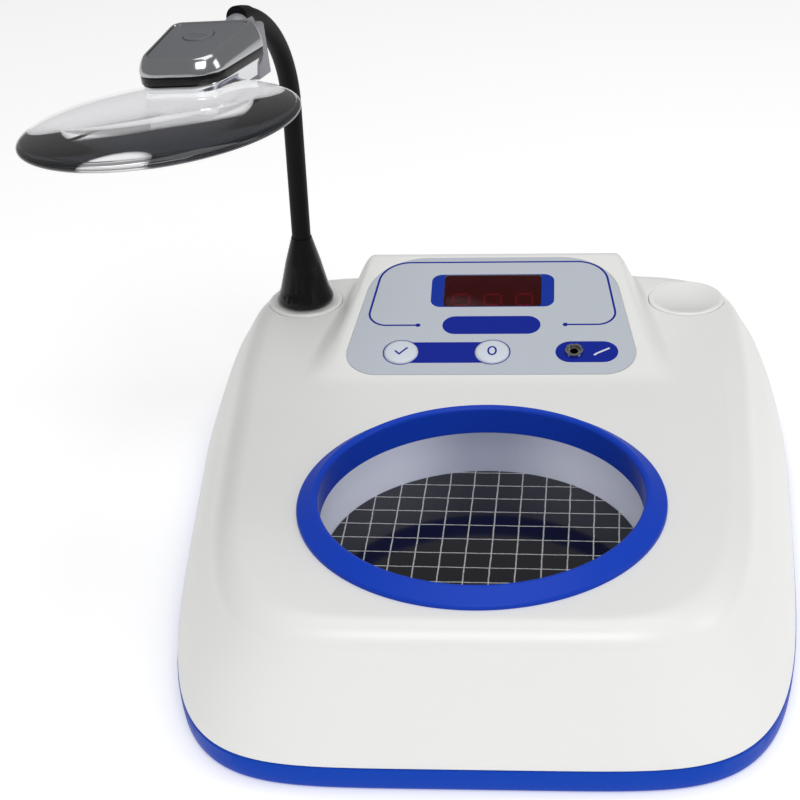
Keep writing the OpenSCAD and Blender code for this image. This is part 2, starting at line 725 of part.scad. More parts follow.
module in_neck_plane() {
    translate([-socket_x, socket_y, arc_z]) rotate([0, 0, lean_azimuth]) children();
}

// Stretch of neck from s0 to s1: a hollow seat turns on the ball below it, and a ball carries the next
module neck_piece(s0, s1, seat, ball) {
    seat_r = neck_r + free_gap;
    rim = asin(neck_r / seat_r);
    low = seat ? [for (k = [0.02, 0.35, 0.7, 1]) neck_ring(s0, seat_r * cos(rim * k), seat_r * sin(rim * k))]
               : [neck_ring(s0, 0, neck_r)];
    steps = max(1, round((s1 - max(s0, -0.01)) / 9));
    first = s0 + (seat ? 2.6 : 1);
    mid = s1 > 0.1 ? concat(s0 < 0 ? [neck_ring(0, 0, neck_r)] : [neck_ring(first, 0, neck_r)],
        [for (k = [1:steps]) neck_ring(max(s0, 0) + (s1 - max(s0, 0)) * k / steps, 0, neck_r)])
        : [neck_ring(s1, 0, neck_r)];
    high = ball ? [for (turn = [25, 50, 75, 89]) neck_ring(s1, neck_r * sin(turn), neck_r * cos(turn))] : [];
    in_neck_plane() skin(concat(low, mid, high));
}

module neck_root() {
    color("#111113") {
        neck_piece(-neck_straight, bend_low, false, true);
        translate([-socket_x, socket_y, neck_z - 8.5]) cylinder(r = neck_spigot_r, h = 12);
    }
}
module neck_low() { color("#131315") neck_piece(bend_low, bend_mid, true, true); }
module neck_middle() { color("#111113") neck_piece(bend_mid, bend_high, true, true); }
module neck_high() { color("#131315") neck_piece(bend_high, bend_tip, true, true); }
module neck_tip() { color("#111113") neck_piece(bend_tip, arc_len, true, false); }

module at_neck_end() {
    in_neck_plane() translate(neck_at(arc_len)) rotate([0, neck_turn(arc_len), 0]) children();
}

// ---------- magnifier head ----------
// The head's own axes: X across, Y towards the rear along the head, Z square to the lens, origin at the lens
head_turn = -18.6;                // head's line to the rear, from the lens's +Y
neck_reach = 82.7;              // distance from the lens's middle to the end of the neck
neck_rise = 25.9;                 // height of the end of the neck over the lens's middle plane
cap_h = (lens_t - lens_rim) / 2;
cap_r = (lens_r * lens_r + cap_h * cap_h) / (2 * cap_h);
cap_drop = cap_r - cap_h - lens_rim / 2;

neck_end = [-socket_x, socket_y, arc_z]
    + bend_r * [(1 - cos(bend_sweep)) * cos(lean_azimuth), (1 - cos(bend_sweep)) * sin(lean_azimuth), sin(bend_sweep)];

module in_head() {
    translate(neck_end) rotate([lens_pitch, 0, 0]) rotate([0, lens_roll, 0]) rotate([0, 0, head_turn])
        translate([0, -neck_reach, -neck_rise]) children();
}

head_front = 24;
head_rear = 57.6;
pin_y = 66;
pin_z = 15;
pin_r = 1.5;
tongue_half = 4;
tongue_r = 5;
ear_r = 8.1;
ear_gap = free_gap;
knuckle_half = 8;
knuckle_top = 27.4;
ferrule_r = neck_r + 0.9;
band_low = 14.4;
band_high = 20;
shell_top = 27;

function head_outline(grow, z) =
    let (w = head_w / 2 + grow, f = head_front - grow, r = head_rear + min(grow, 0))
    [for (p = rounded([[-w, f], [w, f], [w, r], [-w, r]], [11 + grow, 11 + grow, 3, 3], 5)) [p[0], p[1], z]];

// Lens: two shallow caps and a thin rim, grown by a clearance where it shapes its clamp
module lens_body(grow) {
    steps = 16;
    function cap(r) = sqrt(cap_r * cap_r - r * r) - cap_drop + grow;
    rotate_extrude() polygon(concat(
        [for (k = [0:steps]) let (r = lens_r * k / steps) [r, -cap(r)]], grow > 0 ? [[lens_r + grow, -cap(lens_r)]] : [],
        grow > 0 ? [[lens_r + grow, cap(lens_r)]] : [], [for (k = [steps:-1:0]) let (r = lens_r * k / steps) [r, cap(r)]]));
}

module magnifier_lens() {
    color([0.85, 0.9, 0.95, 0.4]) in_head() lens_body(0);
}

// Clamp: an upper pad shaped to the lens, and a jaw that reaches round the rim to its underside
module lens_clamp() {
    jaw_w = 20;
    color("#c9ccd1") in_head() difference() {
        union() {
            translate([0, 0, 1]) linear_extrude(band_low - 1)
                polygon([for (p = head_outline(0.6, 0)) [p[0], p[1]]]);
            translate([-jaw_w / 2, 46, -9]) cube([jaw_w, head_rear - 46, 12]);
        }
        lens_body(0.1);
        for (x = [-6, 6]) translate([x, 49, -12]) cylinder(r = 1.2 + fit_gap, h = 30);
    }
}

module clamp_screws() {
    color("silver") in_head() for (x = [-6, 6]) translate([x, 49, 0]) {
        translate([0, 0, -11]) cylinder(r = 2.2, h = 2);
        translate([0, 0, -9]) cylinder(r = 1.2, h = 4);
    }
}

module head_lamp() {
    color("#fdfdf4") in_head() translate([0, 51.5, -9]) rotate([180, 0, 0]) rotate_extrude()
        polygon(concat([[0, 0]], [for (turn = [0:15:90]) [2.4 * cos(turn), 0.6 + 2.4 * sin(turn)]], [[0, 3]]));
}

module head_band() {
    color("#0b0b0c") in_head() translate([0, 0, band_low]) linear_extrude(band_high - band_low)
        polygon([for (p = head_outline(0, 0)) [p[0], p[1]]]);
}

button_y = 45;
button_w = 13;
button_l = 18;
button_travel = 0.8;
button_seat = shell_top - 4;

module head_shell() {
    color("#8f9297") in_head() difference() {
        union() {
            skin([head_outline(0.3, band_high), head_outline(0.3, band_high + 1.5),
                  head_outline(-0.8, band_high + 3.6), head_outline(-3, band_high + 5.6),
                  head_outline(-4.5, shell_top)]);
            translate([-tongue_half, 0, 0]) rotate([90, 0, 90]) linear_extrude(2 * tongue_half)
                polygon([[head_rear - 3, band_high + 0.5], [head_rear + seat_gap, band_high + 0.5],
                         [head_rear + seat_gap, pin_z - tongue_r], [pin_y, pin_z - tongue_r],
                         [pin_y, pin_z + tongue_r], [head_rear + 1, shell_top - 2.5], [head_rear - 3, shell_top - 2.5]]);
            translate([-tongue_half, pin_y, pin_z]) rotate([0, 90, 0]) cylinder(r = tongue_r, h = 2 * tongue_half);
        }
        translate([0, button_y, button_seat]) linear_extrude(8) stadium(button_w + 2 * free_gap, button_l + 2 * free_gap);
        translate([-10, pin_y, pin_z]) rotate([0, 90, 0]) cylinder(r = pin_r + fit_gap, h = 20);
    }
}

module head_button() {
    color("#9a9da2") in_head() translate([0, button_y, button_seat + button_travel + free_gap])
        linear_extrude(shell_top + 0.3 - button_seat - button_travel - free_gap) stadium(button_w, button_l);
}

// Knuckle: two ears on the pin, a block behind them and a saddle for the neck's ferrule
module knuckle() {
    block_y = pin_y + 6;
    color("#b4b7bc") difference() {
        in_head() difference() {
            union() {
                for (side = [-1, 1]) translate([side > 0 ? tongue_half + ear_gap : -knuckle_half, 0, 0]) {
                    w = knuckle_half - tongue_half - ear_gap;
                    translate([0, pin_y, pin_z]) rotate([0, 90, 0]) cylinder(r = ear_r, h = w);
                    translate([0, pin_y, pin_z - ear_r]) cube([w, 7, 2 * ear_r]);
                }
                translate([-knuckle_half, block_y, 2]) linear_extrude(knuckle_top - 2)
                    polygon(rounded([[0, 0], [2 * knuckle_half, 0], [2 * knuckle_half, 11], [0, 11]], [1, 1, 4, 4]));
            }
            translate([-20, pin_y, pin_z]) rotate([0, 90, 0]) cylinder(r = pin_r, h = 40);
        }
        at_neck_end() translate([0, 0, -6]) cylinder(r = ferrule_r + fit_gap, h = 26);
    }
}

module tilt_pin() {
    color("silver") in_head() translate([-knuckle_half - 0.6, pin_y, pin_z]) rotate([0, 90, 0])
        cylinder(r = pin_r, h = 2 * knuckle_half + 1.2);
}

module neck_ferrule() {
    color("#0e0e10") at_neck_end() cylinder(r = ferrule_r, h = 10.4);
}

base_tray();
rubber_feet();
housing_screws();
chassis_pillars();
upper_housing();
well_ring();
diffuser_ring();
light_box();
ring_lamp();
lamp_clips();
grid_glass();
dark_dish();
panel_overlay();
display_window();
display_module();
control_board();
board_chips();
board_pillars();
key_switches();
check_key();
reset_key();
probe_jack();
jack_nut();
transformer();
power_board();
power_inlet();
inlet_pins();
fuse_drawer();
rocker_frame();
power_rocker();
arm_socket_cap();
blank_socket_cap();
arm_cone();
arm_lock_nut();
neck_root();
neck_low();
neck_middle();
neck_high();
neck_tip();
neck_ferrule();
knuckle();
tilt_pin();
head_shell();
head_button();
head_band();
lens_clamp();
clamp_screws();
head_lamp();
magnifier_lens();
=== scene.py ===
"""Surfaces and finishes of a bench colony counter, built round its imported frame.

X points right, Y to the rear and Z up. The origin is on the well's axis, on the bench.
Shape functions work in millimetres; a mesh is written in metres.
"""

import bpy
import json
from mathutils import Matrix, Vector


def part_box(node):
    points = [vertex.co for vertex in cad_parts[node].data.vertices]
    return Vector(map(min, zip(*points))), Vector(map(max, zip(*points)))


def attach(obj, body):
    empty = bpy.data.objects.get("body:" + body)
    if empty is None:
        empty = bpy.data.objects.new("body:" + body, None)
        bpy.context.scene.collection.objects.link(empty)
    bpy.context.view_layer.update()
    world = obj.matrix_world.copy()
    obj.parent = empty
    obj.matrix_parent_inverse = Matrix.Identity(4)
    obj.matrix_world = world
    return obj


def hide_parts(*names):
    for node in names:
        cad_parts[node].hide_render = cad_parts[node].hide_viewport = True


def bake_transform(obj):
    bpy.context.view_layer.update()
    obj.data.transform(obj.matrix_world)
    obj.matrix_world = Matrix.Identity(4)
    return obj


bl_info = {
    "name": "Colony Counter",
    "version": (1, 0, 0),
    "blender": (4, 5, 0),
    "location": "3D View > Sidebar > Counter",
    "description": "Builds the surfaces and finishes of a bench colony counter round its packed frame",
    "category": "Add Mesh",
}

import json
import math
from types import SimpleNamespace

import bmesh
import bpy
import numpy as np
from bpy.props import FloatProperty, FloatVectorProperty, PointerProperty
from mathutils import Euler, Matrix, Vector

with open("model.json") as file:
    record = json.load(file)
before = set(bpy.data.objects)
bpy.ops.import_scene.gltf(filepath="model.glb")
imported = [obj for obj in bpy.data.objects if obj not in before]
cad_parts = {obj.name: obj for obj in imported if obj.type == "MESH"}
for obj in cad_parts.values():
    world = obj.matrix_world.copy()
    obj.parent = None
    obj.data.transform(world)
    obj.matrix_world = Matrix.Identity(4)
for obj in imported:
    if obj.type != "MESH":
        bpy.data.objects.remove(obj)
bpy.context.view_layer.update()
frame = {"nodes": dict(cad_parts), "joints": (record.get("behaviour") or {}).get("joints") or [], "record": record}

MM = 0.001
TURN = 2 * math.pi
WORLD = np.eye(4)
JOINTS = {joint["name"]: joint for joint in frame["joints"]}


# ---------- sizes and colours that a user would change ----------
def length(name, text, millimetres):
    return FloatProperty(name=name, description=text, default=millimetres * MM, unit="LENGTH", precision=4)


def angle(name, text, degrees):
    return FloatProperty(name=name, description=text, default=math.radians(degrees), unit="ROTATION")


def colour(name, text, red, green, blue):
    return FloatVectorProperty(name=name, description=text, default=(red, green, blue), subtype="COLOR")


def number(name, text, value):
    return FloatProperty(name=name, description=text, default=value)


class HousingSizes(bpy.types.PropertyGroup):
    top_z: length("Top height", "Height of the flat top above the bench", 66.5)
    half_w: length("Half width", "Half width of the top plane at its widest", 110)
    front: length("Front", "Distance from the well's axis to the top plane's front edge", 83.5)
    rear: length("Rear", "Distance from the well's axis to the top plane's rear edge", 205)
    side_flare: length("Side flare", "How far the side walls lean out at the seam", 22.3)
    end_flare: length("End flare", "How far the front and rear walls lean out at the seam", 9.5)
    seam_z: length("Seam height", "Height of the seam between the housing and its base", 11)
    edge_r: length("Edge radius", "Radius of the rounding along the top edge", 9)
    wall: length("Wall", "Thickness of the mouldings", 3)
    middle_y: length("Middle", "Y of the outline's widest section", 120)
    squareness: number("Squareness", "Power of the outline's superellipse", 5.8)
    front_taper: number("Front taper", "Share of the width lost towards the front", 0.10)
    bulge: number("Wall bulge", "Outward swelling of the walls between top edge and seam", 0.10)


class WellSizes(bpy.types.PropertyGroup):
    radius: length("Well radius", "Inner radius of the well", 63)
    ring_w: length("Ring width", "Width of the blue trim ring", 8.6)
    lip: length("Lip height", "Height of the ring's inner lip over the top", 4.2)
    glass_z: length("Glass height", "Height of the grid glass above the bench", 42)
    glass_t: length("Glass thickness", "Thickness of the grid glass", 4)
    pitch: length("Grid pitch", "Pitch of the grid", 10)
    line: length("Grid line", "Width of a grid line", 0.56)
    grid_turn: angle("Grid turn", "How far the grid is turned in the well", -1.5)
    grid_x: length("Grid shift X", "Shift of the grid's lines across the well", -1.6)
    grid_y: length("Grid shift Y", "Shift of the grid's lines along the well", -4.2)


class PanelSizes(bpy.types.PropertyGroup):
    low_y: length("Panel foot", "Y of the panel's lower edge", 100.6)
    low_z: length("Panel foot height", "Height of the panel's lower edge", 67.5)
    length: length("Panel length", "Length of the overlay along the slope", 78.7)
    half_low: length("Lower half width", "Half width of the overlay at its lower edge", 65.4)
    half_top: length("Upper half width", "Half width of the overlay at its upper edge", 53.1)
    thick: length("Overlay thickness", "Thickness of the overlay in its recess", 0.6)
    keys_u: length("Key line", "Distance of the keys and the jack up the slope", 14.1)
    check_x: length("Check key", "X of the left key", -39.1)
    reset_x: length("Reset key", "X of the right key", 0.8)
    jack_x: length("Jack", "X of the probe jack", 36.4)
    key_d: length("Key diameter", "Diameter of the round keys", 14.6)
    jack_d: length("Jack hole", "Diameter of the hole for the probe jack", 6.2)
    window_u: length("Window line", "Distance of the display window up the slope", 55.4)
    window_w: length("Window width", "Width of the display window", 43.4)
    window_h: length("Window height", "Height of the display window", 21.4)


class ArmSizes(bpy.types.PropertyGroup):
    socket_x: length("Socket", "Distance of each arm socket from the middle", 88)
    socket_y: length("Socket line", "Y of the arm sockets", 174)
    socket_r: length("Socket disc", "Radius of the disc that covers an arm socket", 17)
    neck_r: length("Neck radius", "Radius of the flexible neck", 4.3)
    straight: length("Straight", "Length of the straight stretch of the neck", 62.7)
    bend_r: length("Bend radius", "Radius of the neck's bend", 57.8)
    sweep: angle("Sweep", "Angle that the neck turns through", 70)
    azimuth: angle("Lean", "Direction in which the neck leans, from +X", -107.4)


class HeadSizes(bpy.types.PropertyGroup):
    lens_x: length("Lens X", "Place of the lens's middle", -121.3)
    lens_y: length("Lens Y", "Place of the lens's middle", 51.1)
    lens_z: length("Lens Z", "Place of the lens's middle", 203.9)
    pitch: angle("Pitch", "Forward tilt of the lens, which raises its near edge", -5.2)
    roll: angle("Roll", "Sideways tilt of the lens", -5.3)
    turn: angle("Turn", "How far the head's line to the rear is turned from Y", -15.5)
    lens_r: length("Lens radius", "Radius of the magnifying lens", 54.7)
    lens_t: length("Lens thickness", "Thickness of the lens at its middle", 14)
    width: length("Head width", "Width of the magnifier's head at its front", 35)
    spread: length("Head spread", "How much wider the head is at its rear", 5)
    front: length("Head front", "Distance of the head's front from the lens's middle", 17)
    rear: length("Head rear", "Distance of the head's rear from the lens's middle", 62)
    band_low: length("Band foot", "Height of the black band's lower face", 9.4)
    band_high: length("Band top", "Height of the black band's upper face", 13.2)
    top: length("Head top", "Height of the head's top at its front edge", 19.2)
    slant: number("Slant", "Rise of the head's top towards the rear, per length", 0.117)
    button_y: length("Button", "Distance of the button from the lens's middle", 44.5)
    button_w: length("Button width", "Width of the oval button", 12.7)
    button_l: length("Button length", "Length of the oval button", 10.2)
    ear_r: length("Ear radius", "Radius of the knuckle's ears round the tilt pin", 8.1)
    tongue_r: length("Tongue radius", "Radius of the head's tongue round the tilt pin", 5)
    tongue_half: length("Tongue half width", "Half width of the head's tongue", 3.65)
    block_half: length("Block half width", "Half width of the knuckle", 11)
    block_top: length("Block top", "Height of the knuckle's flat top", 17.4)
    neck_turn: angle("Neck end", "Angle that the neck's sleeve turns through, up to the knuckle", 78)


class Colours(bpy.types.PropertyGroup):
    shell: colour("Shell", "Moulded housing", 0.86, 0.86, 0.84)
    ring: colour("Ring", "Blue trim ring", 0.008, 0.052, 0.50)
    base: colour("Base", "Blue base", 0.004, 0.058, 0.47)
    print_blue: colour("Print", "Navy print on the overlay", 0.001, 0.015, 0.29)
    frame_blue: colour("Display frame", "Blue print beside the display", 0.003, 0.030, 0.33)
    overlay: colour("Overlay", "Silver overlay film", 0.53, 0.57, 0.63)
    window: colour("Window", "Display filter", 0.045, 0.003, 0.004)
    digit: colour("Digits", "Lit digits behind the filter", 0.9, 0.03, 0.02)
    diffuser: colour("Diffuser", "Frosted wall of the well", 0.60, 0.62, 0.72)
    field: colour("Dark field", "Black dish under the glass", 0.006, 0.006, 0.010)
    grid: colour("Grid", "Lines of the grid", 0.46, 0.46, 0.45)
    head: colour("Head", "Metallic paint of the head", 0.16, 0.165, 0.18)
    knuckle: colour("Knuckle", "Grey moulding behind the head", 0.27, 0.27, 0.30)
    chrome: colour("Chrome", "Plated mouldings", 0.72, 0.73, 0.74)


class StageSizes(bpy.types.PropertyGroup):
    lens: number("Camera lens", "Focal length on a 36 mm sensor", 88.6)
    pitch: angle("Camera pitch", "How far the camera looks down", 29.54)
    azimuth: angle("Camera azimuth", "How far the camera looks to the left", 5.49)
    roll: angle("Camera roll", "Turn of the camera about its line of sight", 2.8)
    camera_x: length("Camera X", "Camera place", 32.2)
    camera_y: length("Camera Y", "Camera place", -642.6)
    camera_z: length("Camera Z", "Camera place", 477.8)
    floor: length("Floor", "Side of the floor", 6000)


class CounterSettings(bpy.types.PropertyGroup):
    housing: PointerProperty(type=HousingSizes)
    well: PointerProperty(type=WellSizes)
    panel: PointerProperty(type=PanelSizes)
    arm: PointerProperty(type=ArmSizes)
    head: PointerProperty(type=HeadSizes)
    colours: PointerProperty(type=Colours)
    stage: PointerProperty(type=StageSizes)


def sizes(group):
    """A settings group's values by name, with its lengths in millimetres."""
    rules = group.bl_rna.properties
    names = [rule.identifier for rule in rules if rule.identifier not in ("rna_type", "name")]
    values = {name: getattr(group, name) for name in names}
    return SimpleNamespace(
        **{name: v / MM if getattr(rules[name], "unit", "") == "LENGTH" else v for name, v in values.items()}
    )


# ---------- places taken from the frame ----------
def joint_place(name):
    """A joint's place in millimetres."""
    return np.array(JOINTS[name]["pos_m"]) / MM


def joint_axis(name):
    """A joint's axis, of length 1."""
    axis = np.array(JOINTS[name]["axis"])
    return axis / np.linalg.norm(axis)


def axes_at(origin, across, out):
    """4 by 4 matrix of axes at origin: X along across, Z along out, Y square to both."""
    matrix = np.eye(4)
    matrix[:3, :] = np.stack([across, np.cross(out, across), out, origin], 1)
    return matrix


def shifted(matrix, x, y, z=0):
    """The axes of matrix, with their origin moved to its own (x, y, z)."""
    return matrix @ axes_at([x, y, z], [1, 0, 0], [0, 0, 1])


def panel_axes():
    """The panel's own axes: X across, Y up the slope, Z out of the overlay's face."""
    panel = sizes(bpy.context.scene.counter.panel)
    return axes_at([0, panel.low_y, panel.low_z], [1, 0, 0], -joint_axis("check_key_press"))


def head_axes():
    """The magnifier's own axes: X across, Y to the rear, Z square to the lens, origin in its middle."""
    head = sizes(bpy.context.scene.counter.head)
    angles = ((head.pitch, "X"), (head.roll, "Y"), (head.turn, "Z"))
    turns = [Matrix.Rotation(turn, 3, axis) for turn, axis in angles]
    matrix = np.eye(4)
    matrix[:3, :3] = np.array(turns[0] @ turns[1] @ turns[2])
    matrix[:3, 3] = [head.lens_x, head.lens_y, head.lens_z]
    return matrix


def pin_on_head():
    """The tilt pin's middle in the magnifier's axes."""
    return (np.linalg.inv(head_axes()) @ [*joint_place("head_tilt"), 1])[:3]


def placed(points, matrix):
    """Points turned and moved by the matrix."""
    return points @ matrix[:3, :3].T + matrix[:3, 3]


# ---------- outlines and sections ----------
def round_steps(count):
    """Angles of count even steps round a circle."""
    return np.arange(count) / count * TURN


def at_height(outline, z):
    """A flat outline's points at height z, which may be one number or one for each point."""
    return np.column_stack([outline, np.broadcast_to(z, len(outline))])


def softened(points, radii, steps=8):
    """A polygon whose corners are arcs: each arc lies at radius from a centre on the corner's bisector."""
    points = np.array(points, float)
    radii = np.broadcast_to(radii, len(points))
    arcs = []
    for a, b, c, radius in zip(np.roll(points, 1, 0), points, np.roll(points, -1, 0), radii):
        if radius <= 0:
            arcs.append(b[None])
            continue
        p = (a - b) / np.linalg.norm(a - b)
        q = (c - b) / np.linalg.norm(c - b)
        half = math.acos(np.clip(p @ q, -1, 1)) / 2
        centre = b + (p + q) / np.linalg.norm(p + q) * radius / math.sin(half)
        first = b + p * radius / math.tan(half) - centre
        last = b + q * radius / math.tan(half) - centre
        start = math.atan2(first[1], first[0])
        turn = math.atan2(first[0] * last[1] - first[1] * last[0], first @ last)
        t = start + turn * np.linspace(0, 1, steps + 1)
        arcs.append(centre + radius * np.stack([np.cos(t), np.sin(t)], 1))
    return np.concatenate(arcs)


def box_outline(width, depth, radius, steps=8):
    """Rectangle width by depth about the origin, with round corners."""
    w, d = width / 2, depth / 2
    return softened([[-w, -d], [w, -d], [w, d], [-w, d]], radius, steps)


def stadium(width, depth, steps=24):
    """Bar with round ends: a box whose corner radius is half its shorter side."""
    return box_outline(width, depth, min(width, depth) / 2 - 1e-4, steps)


def grown(outline, by):
    """The outline moved outwards: each point goes by along the mean normal of the two edges at it."""
    edges = np.roll(outline, -1, 0) - outline
    normals = np.stack([edges[:, 1], -edges[:, 0]], 1)
    normals /= np.maximum(np.linalg.norm(normals, axis=1), 1e-9)[:, None]
    mean = normals + np.roll(normals, 1, 0)
    mean /= np.linalg.norm(mean, axis=1)[:, None]
    return outline + by * mean


def panel_outline(grow):
    """The overlay's outline in the panel's axes, moved outwards by grow."""
    panel = sizes(bpy.context.scene.counter.panel)
    low, top = panel.half_low + grow, panel.half_top + grow
    corners = [[-low, -grow], [low, -grow], [top, panel.length + grow], [-top, panel.length + grow]]
    return softened(corners, [14 + grow, 14 + grow, 27 + grow, 27 + grow], 16)


# ---------- meshes ----------
def ring_points(radius, z, steps):
    """Circles: (r cos t, r sin t, z) for each radius and z."""
    t = round_steps(steps)
    radius, z = np.asarray(radius, float)[:, None], np.asarray(z, float)[:, None]
    return np.stack([radius * np.cos(t), radius * np.sin(t), z + 0 * t], 2)


def mesh_object(name, points, faces, sharp=35.0):
    """A smooth-shaded object in metres, with doubles merged and edges over sharp degrees kept crisp."""
    mesh = bpy.data.meshes.new(name)
    mesh.from_pydata((points * MM).tolist(), [], faces)
    work = bmesh.new()
    work.from_mesh(mesh)
    bmesh.ops.remove_doubles(work, verts=work.verts, dist=1e-7)
    work.to_mesh(mesh)
    work.free()
    mesh.shade_smooth()
    mesh.set_sharp_from_angle(angle=math.radians(sharp))
    made = bpy.data.objects.new(name, mesh)
    bpy.context.scene.collection.objects.link(made)
    return made


def skin(name, rings, closed=False, matrix=None, sharp=35.0):
    """Solid through rings of equal length. Closed joins the last ring to the first; else the ends get caps.

    A ring runs anticlockwise seen from the side that the rings advance to, so that faces point outwards.
    """
    rings = np.asarray(rings, float)
    count, around = rings.shape[:2]
    bands = count if closed else count - 1
    row, column = np.meshgrid(np.arange(bands), np.arange(around), indexing="ij")
    a = row * around + column
    b = row * around + (column + 1) % around
    step_a, step_b = (a + around) % (count * around), (b + around) % (count * around)
    faces = np.stack([a, b, step_b, step_a], 2).reshape(-1, 4).tolist()
    if not closed:
        for ring, order in ((0, range(around - 1, -1, -1)), (count - 1, range(around))):
            if np.ptp(rings[ring], axis=0).max() > 1e-4:
                faces.append([ring * around + i for i in order])
    points = rings.reshape(-1, 3)
    return mesh_object(name, points if matrix is None else placed(points, matrix), faces, sharp)


def revolved(name, section, steps=160, closed=True, matrix=None, sharp=35.0):
    """Surface of revolution about Z: (r cos t, r sin t, z) over the section's (r, z), anticlockwise."""
    section = np.asarray(section, float)
    return skin(name, ring_points(section[:, 0], section[:, 1], steps), closed, matrix, sharp)


def prism(name, outline, section, matrix=None, sharp=35.0):
    """Solid over an outline: each (grow, z) of the section gives the outline moved out by grow, at height z.

    The outline is an array of points, or a function of grow that returns one.
    """
    shape = outline if callable(outline) else lambda by: grown(outline, by)
    return skin(name, [at_height(shape(grow), z) for grow, z in section], False, matrix, sharp)


def ribbon(name, path, width, low, high, matrix, loop=False):
    """Flat band along a path in the plane: each section is a box from low to high, square to the path."""
    path = np.asarray(path, float)
    ahead = np.roll(path, -1, 0) - path
    behind = path - np.roll(path, 1, 0)
    if not loop:
        ahead[-1], behind[0] = behind[-1], ahead[0]
    ahead /= np.linalg.norm(ahead, axis=1)[:, None]
    behind /= np.linalg.norm(behind, axis=1)[:, None]
    mean = ahead + behind
    mean /= np.linalg.norm(mean, axis=1)[:, None]
    left = np.stack([-mean[:, 1], mean[:, 0]], 1) * width / 2 / np.sum(mean * ahead, 1)[:, None]
    corners = [(1, low), (1, high), (-1, high), (-1, low)]
    rings = [at_height(path + side * left, z) for side, z in corners]
    return skin(name, np.stack(rings, 1), loop, matrix)


def edge_section(low, high, radius, steps=5, foot=0.0):
    """(grow, z) pairs of a wall from low to high: quarter rounds at its top edge and, if given, its foot."""
    t = np.linspace(0, math.pi / 2, steps + 1)
    lower = [(foot * (math.sin(a) - 1), low + foot * (1 - math.cos(a))) for a in t] if foot else [(0, low)]
    return lower + [(radius * (math.cos(a) - 1), high + radius * (math.sin(a) - 1)) for a in t]


def joined(name, parts):
    """One object from several that share a piece."""
    mesh = bpy.data.meshes.new(name)
    work = bmesh.new()
    for part in parts:
        work.from_mesh(part.data)
    work.to_mesh(mesh)
    work.free()
    made = bpy.data.objects.new(name, mesh)
    bpy.context.scene.collection.objects.link(made)
    for part in parts:
        bpy.data.objects.remove(part)
    return made


def carved(target, cutters, sharp=35.0):
    """The target less its cutters, which are removed."""
    for cutter in cutters:
        cut = target.modifiers.new("cut", "BOOLEAN")
        cut.solver = "MANIFOLD"
        cut.operation = "DIFFERENCE"
        cut.object = cutter
    bpy.context.view_layer.update()
    depsgraph = bpy.context.evaluated_depsgraph_get()
    mesh = bpy.data.meshes.new_from_object(target.evaluated_get(depsgraph))
    target.modifiers.clear()
    target.data = mesh
    mesh.shade_smooth()
    mesh.set_sharp_from_angle(angle=math.radians(sharp))
    for cutter in cutters:
        bpy.data.objects.remove(cutter)
    return target


def refined(node, name, bevel=0.0, sharp=30.0):
    """A smooth-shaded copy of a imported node, with its doubles merged and its edges rounded by bevel."""
    mesh = frame["nodes"][node].data.copy()
    mesh.materials.clear()
    work = bmesh.new()
    work.from_mesh(mesh)
    bmesh.ops.remove_doubles(work, verts=work.verts, dist=2e-6)
    bmesh.ops.dissolve_limit(work, angle_limit=math.radians(1), verts=work.verts, edges=work.edges)
    work.to_mesh(mesh)
    work.free()
    mesh.shade_smooth()
    mesh.set_sharp_from_angle(angle=math.radians(sharp))
    made = bpy.data.objects.new(name, mesh)
    bpy.context.scene.collection.objects.link(made)
    if bevel:
        rounding = made.modifiers.new("rounding", "BEVEL")
        rounding.width = bevel * MM
        rounding.segments = 3
        rounding.limit_method = "ANGLE"
        rounding.angle_limit = math.radians(sharp)
        rounding.harden_normals = True
    return made


# ---------- finishes ----------
class Value:
    """A number or colour in a material. Arithmetic on it adds Math nodes."""

    def __init__(self, finish, socket):
        self.finish = finish
        self.socket = socket

    def maths(self, operation, *terms):
        """One Math node on the terms, which are values or numbers."""
        return self.finish.node("ShaderNodeMath", {"operation": operation}, dict(enumerate(terms)))

    def __add__(self, other):
        return self.maths("ADD", self, other)

    def __sub__(self, other):
        return self.maths("SUBTRACT", self, other)

    def __rsub__(self, other):
        return self.maths("SUBTRACT", other, self)

    def __mul__(self, other):
        return self.maths("MULTIPLY", self, other)

    def __truediv__(self, other):
        return self.maths("DIVIDE", self, other)

    def __abs__(self):
        return self.maths("ABSOLUTE", self)

    __radd__ = __add__
    __rmul__ = __mul__

    def fraction(self):
        return self.maths("FRACT", self)

    def ramp(self, low, high):
        """0 below low, 1 above high and a smooth step between."""
        span = {"From Min": low, "From Max": high, "Value": self}
        return self.finish.node("ShaderNodeMapRange", {"interpolation_type": "SMOOTHSTEP"}, span)


